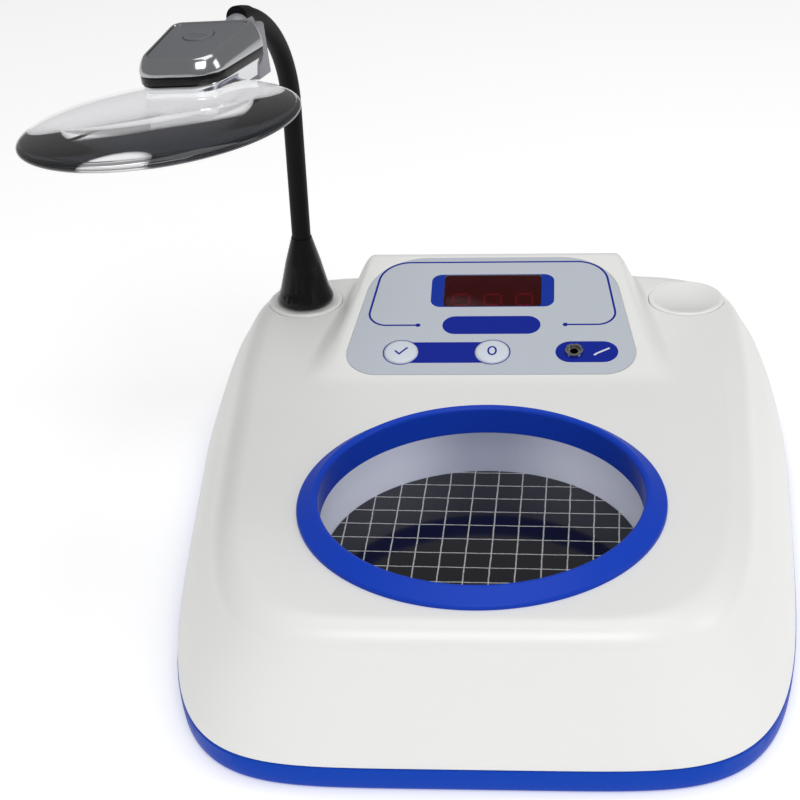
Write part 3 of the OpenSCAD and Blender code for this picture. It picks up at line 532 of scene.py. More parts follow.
class Finish:
    """A material with one Principled shader, and short calls for the nodes that feed it."""

    def __init__(self, name, tint, roughness, **constants):
        self.material = bpy.data.materials.new(name)
        self.material.use_nodes = True
        self.tree = self.material.node_tree
        self.shader = self.tree.nodes["Principled BSDF"]
        self.constant("Base Color", (*tint, 1.0))
        self.constant("Roughness", roughness)
        for socket, value in constants.items():
            self.constant(socket.replace("_", " "), value)

    def constant(self, socket, value):
        self.shader.inputs[socket].default_value = value

    def node(self, kind, settings=None, inputs=None, output=0):
        """Adds a node: its settings first, then the values or links of its sockets. Returns one output."""
        made = self.tree.nodes.new(kind)
        for key, value in (settings or {}).items():
            setattr(made, key, value)
        for key, value in (inputs or {}).items():
            self.feed(made.inputs[key], value)
        return Value(self, made.outputs[output])

    def feed(self, socket, value):
        """Links a value to a socket, or sets the socket to a number or colour."""
        if isinstance(value, Value):
            self.tree.links.new(value.socket, socket)
        else:
            socket.default_value = value

    def drive(self, socket, value):
        self.feed(self.shader.inputs[socket], value)

    def place(self, stretch=(1.0, 1.0, 1.0), turn=(0.0, 0.0, 0.0), shift=(0.0, 0.0, 0.0)):
        """Object coordinates in metres, shifted, turned and stretched."""
        here = self.node("ShaderNodeTexCoord", output="Object")
        moves = {"Vector": here, "Location": shift, "Rotation": turn, "Scale": stretch}
        return self.node("ShaderNodeMapping", {}, moves)

    def axes(self, vector):
        """The three parts of a vector."""
        return [self.node("ShaderNodeSeparateXYZ", {}, {0: vector}, output=i) for i in range(3)]

    def noise(self, size, detail=2.0, where=None):
        """Noise from 0 to 1 whose blobs are about size millimetres across."""
        sockets = {"Vector": where or self.place(), "Scale": 1 / (size * MM), "Detail": detail}
        return self.node("ShaderNodeTexNoise", {}, sockets)

    def blend(self, factor, first, second):
        """Colour between first and second by factor."""
        pick = {"data_type": "RGBA"}
        sides = [v if isinstance(v, Value) else (*v, 1.0) for v in (first, second)]
        return self.node("ShaderNodeMix", pick, {0: factor, 6: sides[0], 7: sides[1]}, output=2)

    def raised(self, height, depth):
        """Bump of the given depth in millimetres, on the shader's normal."""
        bump = {"Height": height, "Distance": depth * MM, "Strength": 1.0}
        self.drive("Normal", self.node("ShaderNodeBump", {}, bump))


def moulded(name, tint, roughness=0.35, grain=0.5, depth=0.012, variation=0.035, **constants):
    """Moulded plastic: a fine grain in the surface, cloudy gloss and a faint drift of its colour."""
    made = Finish(name, tint, roughness, **constants)
    cloudy = made.noise(45.0, 3.0)
    darker = [c * (1 - variation) for c in tint]
    lighter = [min(c * (1 + variation), 1.0) for c in tint]
    made.drive("Base Color", made.blend(cloudy, darker, lighter))
    fine = made.noise(grain, 2.0)
    made.drive("Roughness", roughness - 0.05 + 0.10 * cloudy + 0.06 * fine)
    made.raised(fine, depth)
    return made.material


def metal(name, tint, roughness, grain=0.3):
    """Metal with a fine mottled grain in its colour, gloss and surface."""
    made = Finish(name, tint, roughness, Metallic=1.0)
    mottle = made.noise(grain, 3.0)
    made.drive("Roughness", roughness - 0.06 + 0.14 * mottle)
    made.drive("Base Color", made.blend(mottle, [c * 0.86 for c in tint], tint))
    made.raised(mottle, 0.006)
    return made.material


def grid_glass_finish(well, tints):
    """Dark polished pane with slightly wavy white lines at every odd half pitch across and along."""
    made = Finish("grid_glass", tints.field, 0.1, Specular_IOR_Level=0.38)
    shift = (-well.grid_x / well.pitch, -well.grid_y / well.pitch, 0)
    where = made.place((1 / (well.pitch * MM),) * 3, (0, 0, -well.grid_turn), shift)
    wobble = 0.045 * (made.noise(6.0, 1.0) - 0.5)
    across, along, _ = made.axes(where)
    half = well.line / well.pitch / 2
    worn = made.noise(1.6, 2.0).ramp(0.25, 0.6)
    mask_x, mask_y = (
        1 - abs((axis + wobble).fraction() - 0.5).ramp(half * 0.55, half * 1.25) for axis in (across, along)
    )
    mask = mask_x.maths("MAXIMUM", mask_x, mask_y) * (0.62 + 0.38 * worn)
    made.drive("Base Color", made.blend(mask, tints.field, tints.grid))
    made.drive("Roughness", 0.10 + 0.4 * mask)
    return made.material


def diffuser_finish(tints):
    """Frosted white wall that glows as the backlit wall does, with painted light: dim in the middle of its far
    side, painted bright to the left and right, and a painted shadow of the ring along its top.
    """
    made = Finish("diffuser", tints.diffuser, 0.5, Specular_IOR_Level=0.3)
    across, _, up = made.axes(made.place())
    patches = 0.12 * (made.noise(38.0, 1.0, made.place((1, 1, 0.2))) - 0.5)
    # painted light: brighter towards the left and right of the well, and a painted shadow of the ring near its top
    lit = (abs(across) / MM).ramp(4.0, 40.0) * 0.75 + patches + 0.25 * (1 - (up / MM).ramp(48.0, 62.0))
    dim = [c * s for c, s in zip(tints.diffuser, (0.52, 0.54, 0.62))]
    shade = made.blend(lit, dim, [min(1, c * 1.12) for c in tints.diffuser])
    made.drive("Base Color", shade)
    made.drive("Emission Color", shade)
    made.constant("Emission Strength", 0.16)
    made.raised(made.noise(0.5, 2.0), 0.01)
    return made.material


def film_finish(tints):
    """Printed polycarbonate film: a fine even grain and a faint silver speckle."""
    made = Finish("overlay_film", tints.overlay, 0.38)
    speckle = made.noise(0.35, 2.0)
    darker = [c * 0.95 for c in tints.overlay]
    made.drive("Base Color", made.blend(speckle.ramp(0.2, 0.8), darker, tints.overlay))
    made.drive("Roughness", 0.34 + 0.10 * speckle)
    made.raised(speckle, 0.008)
    return made.material


def filter_finish(tints):
    """Dark red clear filter, through which the digits show."""
    made = Finish("display_filter", tints.window, 0.12, Specular_IOR_Level=0.12)
    darker, lighter = ([c * share for c in tints.window] for share in (0.8, 1.3))
    made.drive("Base Color", made.blend(made.noise(9.0, 2.0), darker, lighter))
    made.constant("Alpha", 0.72)
    return made.material


def digit_finish(tints):
    """Dim red light of the digits."""
    made = Finish("digit_glow", tints.digit, 0.4)
    made.drive("Emission Color", made.blend(made.noise(2.0), [c * 0.7 for c in tints.digit], tints.digit))
    made.constant("Emission Strength", 0.5)
    return made.material


def sleeve_finish():
    """Matte black sleeve: a fine grain in the surface and its gloss, and a cloudy tint."""
    made = Finish("neck_sleeve", (0.005, 0.005, 0.006), 0.5, Specular_IOR_Level=0.12)
    fine = made.noise(0.45, 3.0)
    cloudy = made.noise(14.0, 2.0)
    made.drive("Base Color", made.blend(cloudy, (0.003, 0.003, 0.004), (0.007, 0.007, 0.008)))
    made.drive("Roughness", 0.42 + 0.18 * fine)
    made.raised(fine, 0.05)
    return made.material


def clear_finish(head):
    """Thick clear acrylic: pale towards the rear, with a painted dark reflection along the front rim and faint
    polishing marks.

    The painted dark reflection is a crescent, a smooth step on an ellipse round the lens's middle as wide as the
    lens and half as deep, kept to the front half and lifted again in a painted bright patch, an oval near the
    front rim.
    """
    made = Finish("lens_acrylic", (0.96, 0.97, 1.0), 0.0, IOR=1.49, Transmission_Weight=1.0)
    turn = math.radians(-12.5)
    dark_reflection_share, patch_left, patch_ahead, patch_half, patch_deep = 0.55, 22, 51, 17, 7
    x, y, _ = made.axes(made.place((1 / MM,) * 3, (0, 0, turn)))
    line_x = head.lens_x * math.cos(turn) - head.lens_y * math.sin(turn)
    line_y = head.lens_x * math.sin(turn) + head.lens_y * math.cos(turn)
    ahead = line_y - y
    along = (x - line_x) / head.lens_r
    depth = ahead / (dark_reflection_share * head.lens_r)
    wave = 0.3 * made.noise(30.0, 1.0) - 0.15
    # painted dark reflection: the lens's front half is darkened in its colour
    painted_dark_reflection = (along * along + depth * depth + wave).ramp(0.62, 1.0) * ahead.ramp(-2.0, 3.0)
    # painted highlight: a bright oval patch near the front rim, cut out of the painted dark reflection
    patch_x = (x - (line_x - patch_left)) / patch_half
    patch_y = (ahead - patch_ahead) / patch_deep
    painted_bright_patch = 1 - (patch_x * patch_x + patch_y * patch_y).ramp(0.6, 1.2)
    # mask holds the painted dark reflection less the painted highlight
    mask = painted_dark_reflection * (1 - 0.9 * painted_bright_patch)
    made.drive("Base Color", made.blend(mask, (0.98, 0.98, 1.0), (0.0008, 0.0009, 0.0014)))
    marks = made.noise(7.0, 4.0, made.place((1, 1, 3)))
    made.drive("Roughness", 0.004 + 0.012 * marks.ramp(0.45, 0.8))
    return made.material


def board_finish():
    """Green solder mask with a faint pattern of tracks."""
    made = Finish("circuit_board", (0.02, 0.16, 0.06), 0.3)
    tracks = made.node("ShaderNodeTexBrick", {}, {"Vector": made.place(), "Scale": 220.0}, output="Fac")
    made.drive("Base Color", made.blend(tracks, (0.02, 0.15, 0.055), (0.035, 0.24, 0.09)))
    return made.material


def finishes(counter):
    """Every finish by the record's slot name."""
    tints = sizes(counter.colours)
    well = sizes(counter.well)
    black = (0.004, 0.004, 0.005)
    return {
        "shell_white": moulded("shell_white", tints.shell, 0.30, depth=0.010, variation=0.012),
        "base_blue": moulded("base_blue", tints.base, 0.36, Specular_IOR_Level=0.10),
        "ring_blue": moulded("ring_blue", tints.ring, 0.32, depth=0.003, Specular_IOR_Level=0.12),
        "foot_rubber": moulded("foot_rubber", (0.02, 0.02, 0.022), 0.75, grain=0.8, depth=0.05),
        "screw_steel": metal("screw_steel", (0.50, 0.51, 0.53), 0.30),
        "chassis_metal": metal("chassis_metal", (0.55, 0.56, 0.58), 0.35),
        "lamp_tray": moulded("lamp_tray", (0.78, 0.79, 0.81), 0.25),
        "lamp_glass": moulded("lamp_glass", (0.86, 0.88, 0.92), 0.2),
        "clip_plastic": moulded("clip_plastic", (0.62, 0.63, 0.65), 0.45),
        "diffuser_white": diffuser_finish(tints),
        "grid_glass": grid_glass_finish(well, tints),
        "dish_black": moulded("dish_black", (0.006, 0.006, 0.009), 0.14, depth=0.004),
        "overlay_silver": film_finish(tints),
        "window_red": filter_finish(tints),
        "display_body": moulded("display_body", (0.025, 0.004, 0.004), 0.4),
        "board_green": board_finish(),
        "chip_black": moulded("chip_black", (0.02, 0.02, 0.022), 0.5),
        "brass": metal("brass", (0.62, 0.45, 0.18), 0.25),
        "key_silver": moulded("key_silver", (0.66, 0.71, 0.78), 0.28, variation=0.02),
        "nut_chrome": metal("nut_chrome", (0.40, 0.39, 0.37), 0.16),
        "transformer_iron": moulded("transformer_iron", (0.10, 0.10, 0.105), 0.5, grain=1.0, depth=0.05),
        "fitting_black": moulded("fitting_black", (0.016, 0.016, 0.018), 0.42),
        "cone_black": moulded("cone_black", black, 0.16, grain=2.5, depth=0.01, Specular_IOR_Level=0.25),
        "neck_black": sleeve_finish(),
        "head_silver": metal("head_silver", (0.50, 0.51, 0.52), 0.13, grain=0.25),
        "head_top": moulded("head_top", tints.head, 0.42, Metallic=0.3, grain=0.25, depth=0.004),
        "knuckle_grey": moulded("knuckle_grey", tints.knuckle, 0.42, Metallic=0.2),
        "navy_ink": moulded("navy_ink", tints.print_blue, 0.36, depth=0.003, Specular_IOR_Level=0.15),
        "blue_ink": moulded("blue_ink", tints.frame_blue, 0.36, depth=0.003, Specular_IOR_Level=0.15),
        "white_ink": moulded("white_ink", (0.72, 0.74, 0.80), 0.4, depth=0.003),
        "digit_glow": digit_finish(tints),
        "band_black": moulded("band_black", black, 0.12, depth=0.004, Specular_IOR_Level=0.3),
        "clamp_chrome": metal("clamp_chrome", tints.chrome, 0.09),
        "lamp_lens": moulded("lamp_lens", (0.85, 0.85, 0.80), 0.1),
        "lens_clear": clear_finish(sizes(counter.head)),
    }


FINISHES = {}


def dressed(piece, slot, body=None, stands_for=(), finish=None):
    """Gives a piece its slot's finish, the body it rides on and the nodes that it stands for."""
    piece.data.materials.clear()
    piece.data.materials.append(FINISHES[finish or slot])
    if body:
        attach(piece, body)
    if stands_for:
        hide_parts(*stands_for)
    return piece


def refinished(node, name, slot, body, bevel=0.0, sharp=30.0):
    """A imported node's own shape, refined and dressed."""
    return dressed(refined(node, name, bevel, sharp), slot, body, [node])


# ---------- housing ----------
def soft_min(a, b, k):
    """The lower of a and b, rounded off by a parabola where they are less than k apart."""
    h = np.maximum(k - np.abs(a - b), 0) / k
    return np.minimum(a, b) - h * h * k / 4


def soft_max(a, b, k):
    """The higher of a and b, rounded off in the same way."""
    return -soft_min(-a, -b, k)


def smooth(t):
    """Smooth step: 0 below 0, 1 above 1, and 3 u^2 - 2 u^3 between."""
    u = np.clip(t, 0, 1)
    return u * u * (3 - 2 * u)


def plan(housing, count, lean, inset):
    """Outline of the housing, a superellipse that tapers to the front.

    x = w cos h k taper, y = middle + d sin h k, with k = (|cos h|^p + |sin h|^p)^(-1/p); lean 0 is the
    top edge and 1 the seam, and inset pulls the outline in.
    """
    h = round_steps(count)
    c, s = np.cos(h), np.sin(h)
    power = housing.squareness
    k = (np.abs(c) ** power + np.abs(s) ** power) ** (-1 / power)
    half_w = housing.half_w + housing.side_flare * lean - inset
    front = housing.front + housing.middle_y + housing.end_flare * lean - inset
    rear = housing.rear - housing.middle_y + housing.end_flare * lean - inset
    v = s * k
    taper = np.where(v < 0, 1 + housing.front_taper * v, 1)
    return np.stack([half_w * c * k * taper, housing.middle_y + np.where(v < 0, front, rear) * v], 1)


def lean_at(housing, z):
    """The wall's lean at height z: 0 at the top and 1 at the seam."""
    return (housing.top_z - z) / (housing.top_z - housing.seam_z)


def console_rise(housing, panel, x, y):
    """Height of the raised console over the flat top.

    The lower of the panel's slope and a rear slope, softly joined, kept above 0 and faded at the sides.
    """
    slope = math.acos(panel_axes()[2, 2])
    crown, side, flank, blend, fall = 4, 3, 14, 4, 0.95
    crest_y = panel.low_y + (panel.length + crown) * math.cos(slope)
    face = panel.low_z - housing.top_z + (y - panel.low_y) * math.tan(slope)
    crest = panel.low_z - housing.top_z + (crest_y - panel.low_y) * math.tan(slope)
    profile = soft_min(face, crest - (y - crest_y) * fall, blend)
    u = (y - panel.low_y) / math.cos(slope)
    half = panel.half_low + (panel.half_top - panel.half_low) * u / panel.length
    fade = smooth((np.abs(x) - half - side) / flank)
    return np.maximum(soft_max(profile, 0, 1) * (1 - fade), 0)


def housing_rings(housing, panel, around=512):
    """Rings from the seam up the flared wall, over the rounded edge and across the top to its middle."""
    bottom = np.linspace(0, 1, 26)[:-1]
    low_z = housing.seam_z
    high_z = housing.top_z - housing.edge_r
    walls = []
    for z in low_z + (high_z - low_z) * bottom:
        lean = lean_at(housing, z)
        swell = housing.bulge * math.sin(math.pi * lean) * smooth((lean - 0.10) / 0.30)
        walls.append((lean + swell, 0.8 * max(0, 1 - (z - low_z) / 4), z))
    for t in np.linspace(math.pi / 2, 0, 15):
        z = housing.top_z - housing.edge_r * (1 - math.cos(t))
        walls.append((lean_at(housing, z), housing.edge_r * (1 - math.sin(t)), z))
    rings = []
    for lean, inset, z in walls:
        ring = plan(housing, around, lean, inset)
        rise = console_rise(housing, panel, ring[:, 0], ring[:, 1])
        near_top = smooth((z - high_z + 1) / 1.0)
        rings.append(at_height(ring, z + rise * near_top))
    rim = rings[-1][:, :2]
    centre = np.array([0, housing.middle_y])
    for share in 1 - np.linspace(0, 1, 116)[1:-1]:
        ring = centre + (rim - centre) * share
        rings.append(at_height(ring, housing.top_z + console_rise(housing, panel, ring[:, 0], ring[:, 1])))
    return rings


def cavity_rings(housing, around=128):
    """Inside of the housing's walls, from under the seam to the underside of the flat top."""
    ceiling = housing.top_z - housing.wall
    steps = [
        (housing.seam_z - 1, 1, 0),
        (housing.seam_z + 5, lean_at(housing, housing.seam_z + 5), 0),
        (ceiling - 7, lean_at(housing, ceiling - 7), 1),
        (ceiling - 2, lean_at(housing, ceiling - 2), 4),
        (ceiling, lean_at(housing, ceiling), housing.edge_r - 2),
    ]
    return [at_height(plan(housing, around, lean, housing.wall + inset), z) for z, lean, inset in steps]


def keys_middle(panel):
    """X halfway between the two keys."""
    return (panel.check_x + panel.reset_x) / 2


class COUNTER_OT_housing(bpy.types.Operator):
    """Housing: the flared shell with its console, cut for well, sockets, panel and rear fittings."""

    bl_idname = "counter.housing"
    bl_label = "Housing"

    def execute(self, context):
        counter = context.scene.counter
        housing, well, panel = sizes(counter.housing), sizes(counter.well), sizes(counter.panel)
        top, well_r = housing.top_z, well.radius + 3.2
        seat = [(0.2, -panel.thick), (0.2, -0.32), (0.3, -0.1), (0.52, 0.03), (0.6, 30)]
        shell = skin("housing_shell", housing_rings(housing, panel))
        cutters = [
            skin("cavity", cavity_rings(housing)),
            revolved("well_hole", [(well_r, top - 12), (well_r, top + 28)], closed=False),
            prism("panel_seat", panel_outline, seat, panel_axes()),
            *self.panel_openings(panel),
            *self.socket_seats(sizes(counter.arm), top),
            *self.rear_seats(),
        ]
        dressed(carved(shell, cutters), "shell_white", "base", ["upper_housing"])
        return {"FINISHED"}

    def panel_openings(self, panel):
        """Cutters under the display window, the two keys and the jack."""
        window_spare, key_spare = 4, 3.2
        keys_w = panel.reset_x - panel.check_x + panel.key_d + key_spare
        shapes = (
            (0, panel.window_u, box_outline(panel.window_w + window_spare, panel.window_h + window_spare, 1)),
            (keys_middle(panel), panel.keys_u, box_outline(keys_w, panel.key_d + key_spare, 1)),
            (panel.jack_x, panel.keys_u, stadium(panel.jack_d, panel.jack_d, 12)),
        )
        on_panel = panel_axes()
        section = [(0, -13), (0, 3)]
        return [prism("opening", outline, section, shifted(on_panel, x, u)) for x, u, outline in shapes]

    def socket_seats(self, arm, top):
        """Cutters for the two arm sockets: a seat with an eased rim over a bore."""
        rim, bore = arm.socket_r + 0.2, 12
        seat = [(rim, top - 2.4), (rim, top - 0.7), (rim + 0.25, top - 0.25), (rim + 0.75, top + 0.02),
                (rim + 0.8, top + 20)]
        cutters = []
        for side in (-1, 1):
            place = shifted(WORLD, side * arm.socket_x, arm.socket_y)
            for section in (seat, [(bore, top - 24), (bore, top)]):
                cutters.append(revolved("socket_cut", section, closed=False, matrix=place))
        return cutters

    def rear_seats(self):
        """Cutters for the mains inlet and the switch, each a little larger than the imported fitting."""
        margin = 0.2
        cutters = []
        for node, flange in (("power_inlet", 2.2), ("rocker_frame", 1.8)):
            low, high = (np.array(v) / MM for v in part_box(node))
            size, middle = high - low + 2 * margin, (low + high) / 2
            seat = axes_at([middle[0], high[1] - flange, middle[2]], [1, 0, 0], [0, 1, 0])
            cutters.append(prism("rear_seat", box_outline(size[0], size[2], 0.6), [(0, -14), (0, 40)], seat))
        return cutters


class COUNTER_OT_base(bpy.types.Operator):
    """Base: the blue tray with its vents, foot recesses and screw holes, the rubber feet and the screws."""

    bl_idname = "counter.base"
    bl_label = "Base"

    def execute(self, context):
        housing = sizes(context.scene.counter.housing)
        dressed(carved(self.tray(housing), self.holes()), "base_blue", "base", ["base_tray"])
        refinished("rubber_feet", "feet", "foot_rubber", "base")
        refinished("housing_screws", "base_screws", "screw_steel", "base")
        return {"FINISHED"}

    def tray(self, housing):
        """Open tray: the housing's plan at each height z, pulled in by inset."""
        seam, floor, rim = housing.seam_z, 4.5, 3 * housing.wall
        steps = [(0.5, 2.4), (1.0, 1.6), (2.2, 1.0), (5.0, 0.7), (seam - 1.0, 0.5), (seam - 0.45, 0.8),
                 (seam - 0.3, 1.6), (seam - 0.3, rim), (floor, rim)]
        return skin("base_tray_shell", [at_height(plan(housing, 384, 1, inset), z) for z, inset in steps])

    def holes(self):
        """Cutters from below: recesses for the feet, holes for the screws and two rows of vents."""
        foot_r, foot_high, screw_r, through = 8.2, 4, 4.0, 20
        rounds = [(92, -60, foot_r, foot_high), (112, 180, foot_r, foot_high), (79, -51, screw_r, through),
                  (97, 118, screw_r, through), (0, 190, screw_r, through)]
        vent_x, first_vent, vent_pitch = 46, 97.5, 9
        cutters = []
        for x, y, radius, high in rounds:
            for side in (-1, 1) if x else (1,):
                place = shifted(WORLD, side * x, y)
                cutters.append(revolved("hole", [(radius, -1), (radius, high)], 48, False, place))
        for side in (-1, 1):
            for row in range(8):
                place = shifted(WORLD, side * vent_x, first_vent + vent_pitch * row)
                cutters.append(prism("vent", stadium(34, 3, 8), [(0, -1), (0, 6)], place))
        return cutters


class COUNTER_OT_well(bpy.types.Operator):
    """Well: blue trim ring, frosted wall and ruled glass."""

    bl_idname = "counter.well"
    bl_label = "Well"

    def execute(self, context):
        counter = context.scene.counter
        housing, well = sizes(counter.housing), sizes(counter.well)
        top, r = housing.top_z, well.radius
        outer = r + well.ring_w
        bead = np.radians(np.linspace(0, 80, 9))
        crown = np.radians(np.linspace(70, 180, 14))
        section = (
            [(r + 2.8, top), (outer, top)]
            + [(outer - 1.2 + 1.2 * math.cos(t), top + 0.9 + 1.2 * math.sin(t)) for t in bead]
            + [(r + 1.8 + 1.8 * math.cos(t), top + well.lip + 1.8 * math.sin(t)) for t in crown]
            + [(r, top - 6), (r + 2.8, top - 6)]
        )
        dressed(revolved("trim_ring", section, 256), "ring_blue", "base", ["well_ring"])
        foot = well.glass_z - well.glass_t
        wall = [(r, foot + 0.1), (r + 1.8, foot + 0.1), (r + 1.8, top - 6.3), (r, top - 6.3)]
        dressed(revolved("frosted_wall", wall, 256), "diffuser_white", "base", ["diffuser_ring"])
        edge = r - 0.3
        corners = [(0, foot), (edge, foot), (edge, well.glass_z), (0, well.glass_z)]
        pane = softened(corners, [0, 0.4, 0.4, 0], 4)
        dressed(revolved("grid_pane", pane, 256), "grid_glass", "base", ["grid_glass"])
        return {"FINISHED"}


# ---------- panel ----------
class COUNTER_OT_panel(bpy.types.Operator):
    """Panel: the silver overlay with its prints, the display window and its digits."""

    bl_idname = "counter.panel"
    bl_label = "Panel"

    def execute(self, context):
        panel = sizes(context.scene.counter.panel)
        on_panel = panel_axes()
        on_window = shifted(on_panel, 0, panel.window_u)
        sheet = prism("overlay_film", panel_outline, [(0, -panel.thick), (0, -0.12), (-0.12, 0)], on_panel)
        carved(sheet, [*self.key_holes(panel, on_panel), self.window_hole(panel, on_window)])
        dressed(sheet, "overlay_silver", "base", ["panel_overlay"])
        outline = box_outline(panel.window_w, panel.window_h, 1.5)
        glass = prism("display_filter", outline, edge_section(-2, 0, 0.2, 3), on_window)
        dressed(glass, "window_red", "base", ["display_window"])
        self.prints(panel, on_panel, on_window)
        self.digits(panel, on_panel, on_window)
        return {"FINISHED"}

    def key_holes(self, panel, on_panel):
        """Cutters for the two keys and the jack."""
        key_hole = panel.key_d + 0.6
        holes = ((panel.check_x, key_hole), (panel.reset_x, key_hole), (panel.jack_x, panel.jack_d))
        return [
            revolved("hole", [(d / 2, -2), (d / 2, 2)], 96, False, shifted(on_panel, x, panel.keys_u))
            for x, d in holes
        ]

    def window_hole(self, panel, on_window):
        """Cutter for the display window."""
        outline = box_outline(panel.window_w + 0.4, panel.window_h + 0.4, 1.7)
        return prism("window_hole", outline, [(0, -2), (0, 2)], on_window)

    def prints(self, panel, on_panel, on_window):
        """Ink on the film: border line with end dots, the display's frame, a bare title pill and two pills."""
        low, high, line_u = -0.05, 0.025, 32
        line = softened([[-32.4, line_u], [-55.8, line_u], [-50.2, 75.4], [50.2, 75.4], [55.8, line_u],
                         [32.4, line_u]], [0, 8, 14, 14, 8, 0], 14)
        ink = [ribbon("border_line", line, 0.95, low, 0.02, on_panel)]
        for x in (-32.6, 32.6):
            ink.append(revolved("dot", [(1.15, low), (1.15, high)], 32, False, shifted(on_panel, x, line_u)))
        key_round = stadium(16.1, 16.1, 12)
        shapes = (
            (0, 31.9, box_outline(43.4, 11.9, 5.9, 16), high),
            (keys_middle(panel), panel.keys_u - 0.2, box_outline(39.9, 13.4, 0.1), 0.02),
            (41.9, panel.keys_u, box_outline(27.2, 13.5, 6.7, 16), high),
            (panel.check_x, panel.keys_u, key_round, high),
            (panel.reset_x, panel.keys_u, key_round, high),
        )
        for x, u, outline, top in shapes:
            ink.append(prism("pill", outline, [(0, low), (0, top)], shifted(on_panel, x, u)))
        navy = carved(joined("navy_ink", ink), self.key_holes(panel, on_panel))
        dressed(navy, "overlay_silver", "base", ["panel_overlay"], "navy_ink")
        surround = prism("display_surround", box_outline(55.4, 22.4, 4.6), [(0, low), (0, high)], on_window)
        carved(surround, [self.window_hole(panel, on_window)])
        dressed(surround, "overlay_silver", "base", ["panel_overlay"], "blue_ink")

    def digits(self, panel, on_panel, on_window):
        """Dimly lit lower halves of three seven-segment digits: four bars each, on the module's face."""
        face, pitch = -2.4, 14.2
        bars = (((-3.0, 0), (3.0, 0)), ((-3.0, -7.4), (3.0, -7.4)), ((-3.7, -6.7), (-3.7, -0.7)),
                ((3.7, -6.7), (3.7, -0.7)))
        lit = [
            ribbon("bar", np.array(bar) + [x, panel.window_u], 1.1, face, face + 0.35, on_panel)
            for x in (-pitch, 0, pitch)
            for bar in bars
        ]
        dressed(joined("digit_bars", lit), "display_body", "base", ["display_module"], "digit_glow")
        block = prism("digit_block", box_outline(42, 19, 0.3), [(0, face - 10), (0, face)], on_window)
        dressed(block, "display_body", "base", ["display_module"])


class COUNTER_OT_keys(bpy.types.Operator):
    """Keys: the two round keys with their marks, the probe jack and its nut."""

    bl_idname = "counter.keys"
    bl_label = "Keys"

    def execute(self, context):
        for node, name, slot, body in (
            ("check_key", "key_left", "key_silver", "check_key"),
            ("reset_key", "key_right", "key_silver", "reset_key"),
            ("probe_jack", "jack_barrel", "nut_chrome", "base"),
            ("jack_nut", "jack_collar", "nut_chrome", "base"),
        ):
            refinished(node, name, slot, body)
        panel = sizes(context.scene.counter.panel)
        t = round_steps(40)
        zero = np.stack([1.7 * np.cos(t), 2.5 * np.sin(t)], 1)
        tick = [[-2.6, 0.2], [-0.7, -1.9], [2.8, 2.2]]
        stylus = [[-3.4, -2.2], [-1.9, -0.9], [3.4, 2.3]]
        on_panel = panel_axes()
        for x, path, node, loop, width, high, ink in (
            (panel.check_x, tick, "check_key", False, 0.8, 0.93, "navy_ink"),
            (panel.reset_x, zero, "reset_key", True, 0.8, 0.93, "navy_ink"),
            (48.4, stylus, "panel_overlay", False, 0.9, 0.05, "white_ink"),
        ):
            place = shifted(on_panel, x, panel.keys_u)
            mark = ribbon(f"mark_{node}", path, width, high - 0.5, high, place, loop)
            slot, body = ("overlay_silver", "base") if node == "panel_overlay" else ("key_silver", node)
            dressed(mark, slot, body, [node], ink)
        return {"FINISHED"}


# ---------- arm and neck ----------
class COUNTER_OT_arm(bpy.types.Operator):
    """Arm: the socket discs and the black cone that turns in the left one."""

    bl_idname = "counter.arm"
    bl_label = "Arm"

    def execute(self, context):
        refinished("arm_socket_cap", "socket_disc_left", "shell_white", "base")
        refinished("blank_socket_cap", "socket_disc_right", "shell_white", "base")
        refinished("arm_cone", "cone", "cone_black", "arm")
        return {"FINISHED"}


def neck_line(arm, foot_z):
    """The neck's middle line as a function of length s from the start of its bend: points, tangents, outward.

    Straight below s = 0; above it an arc of the bend radius in the plane that leans along the azimuth.
    """
    lean = np.array([math.cos(arm.azimuth), math.sin(arm.azimuth), 0])
    up = np.array([0, 0, 1.0])
    start = np.array([-arm.socket_x, arm.socket_y, foot_z + arm.straight])

    def line(s):
        s = np.asarray(s, float)[:, None]
        t = np.maximum(s, 0) / arm.bend_r
        point = start + np.minimum(s, 0) * up + arm.bend_r * ((1 - np.cos(t)) * lean + np.sin(t) * up)
        return point, np.sin(t) * lean + np.cos(t) * up, -np.cos(t) * lean + np.sin(t) * up

    return line, np.cross(up, lean)


def tube_rings(line, lateral, s, radius):
    """Circles square to the neck's line at each length s: middle + r (cos t outward + sin t lateral)."""
    point, _, outward = line(s)
    t = round_steps(40)
    around = np.cos(t)[None, :, None] * outward[:, None] + np.sin(t)[None, :, None] * lateral
    return point[:, None] + np.broadcast_to(radius, len(s))[:, None, None] * around


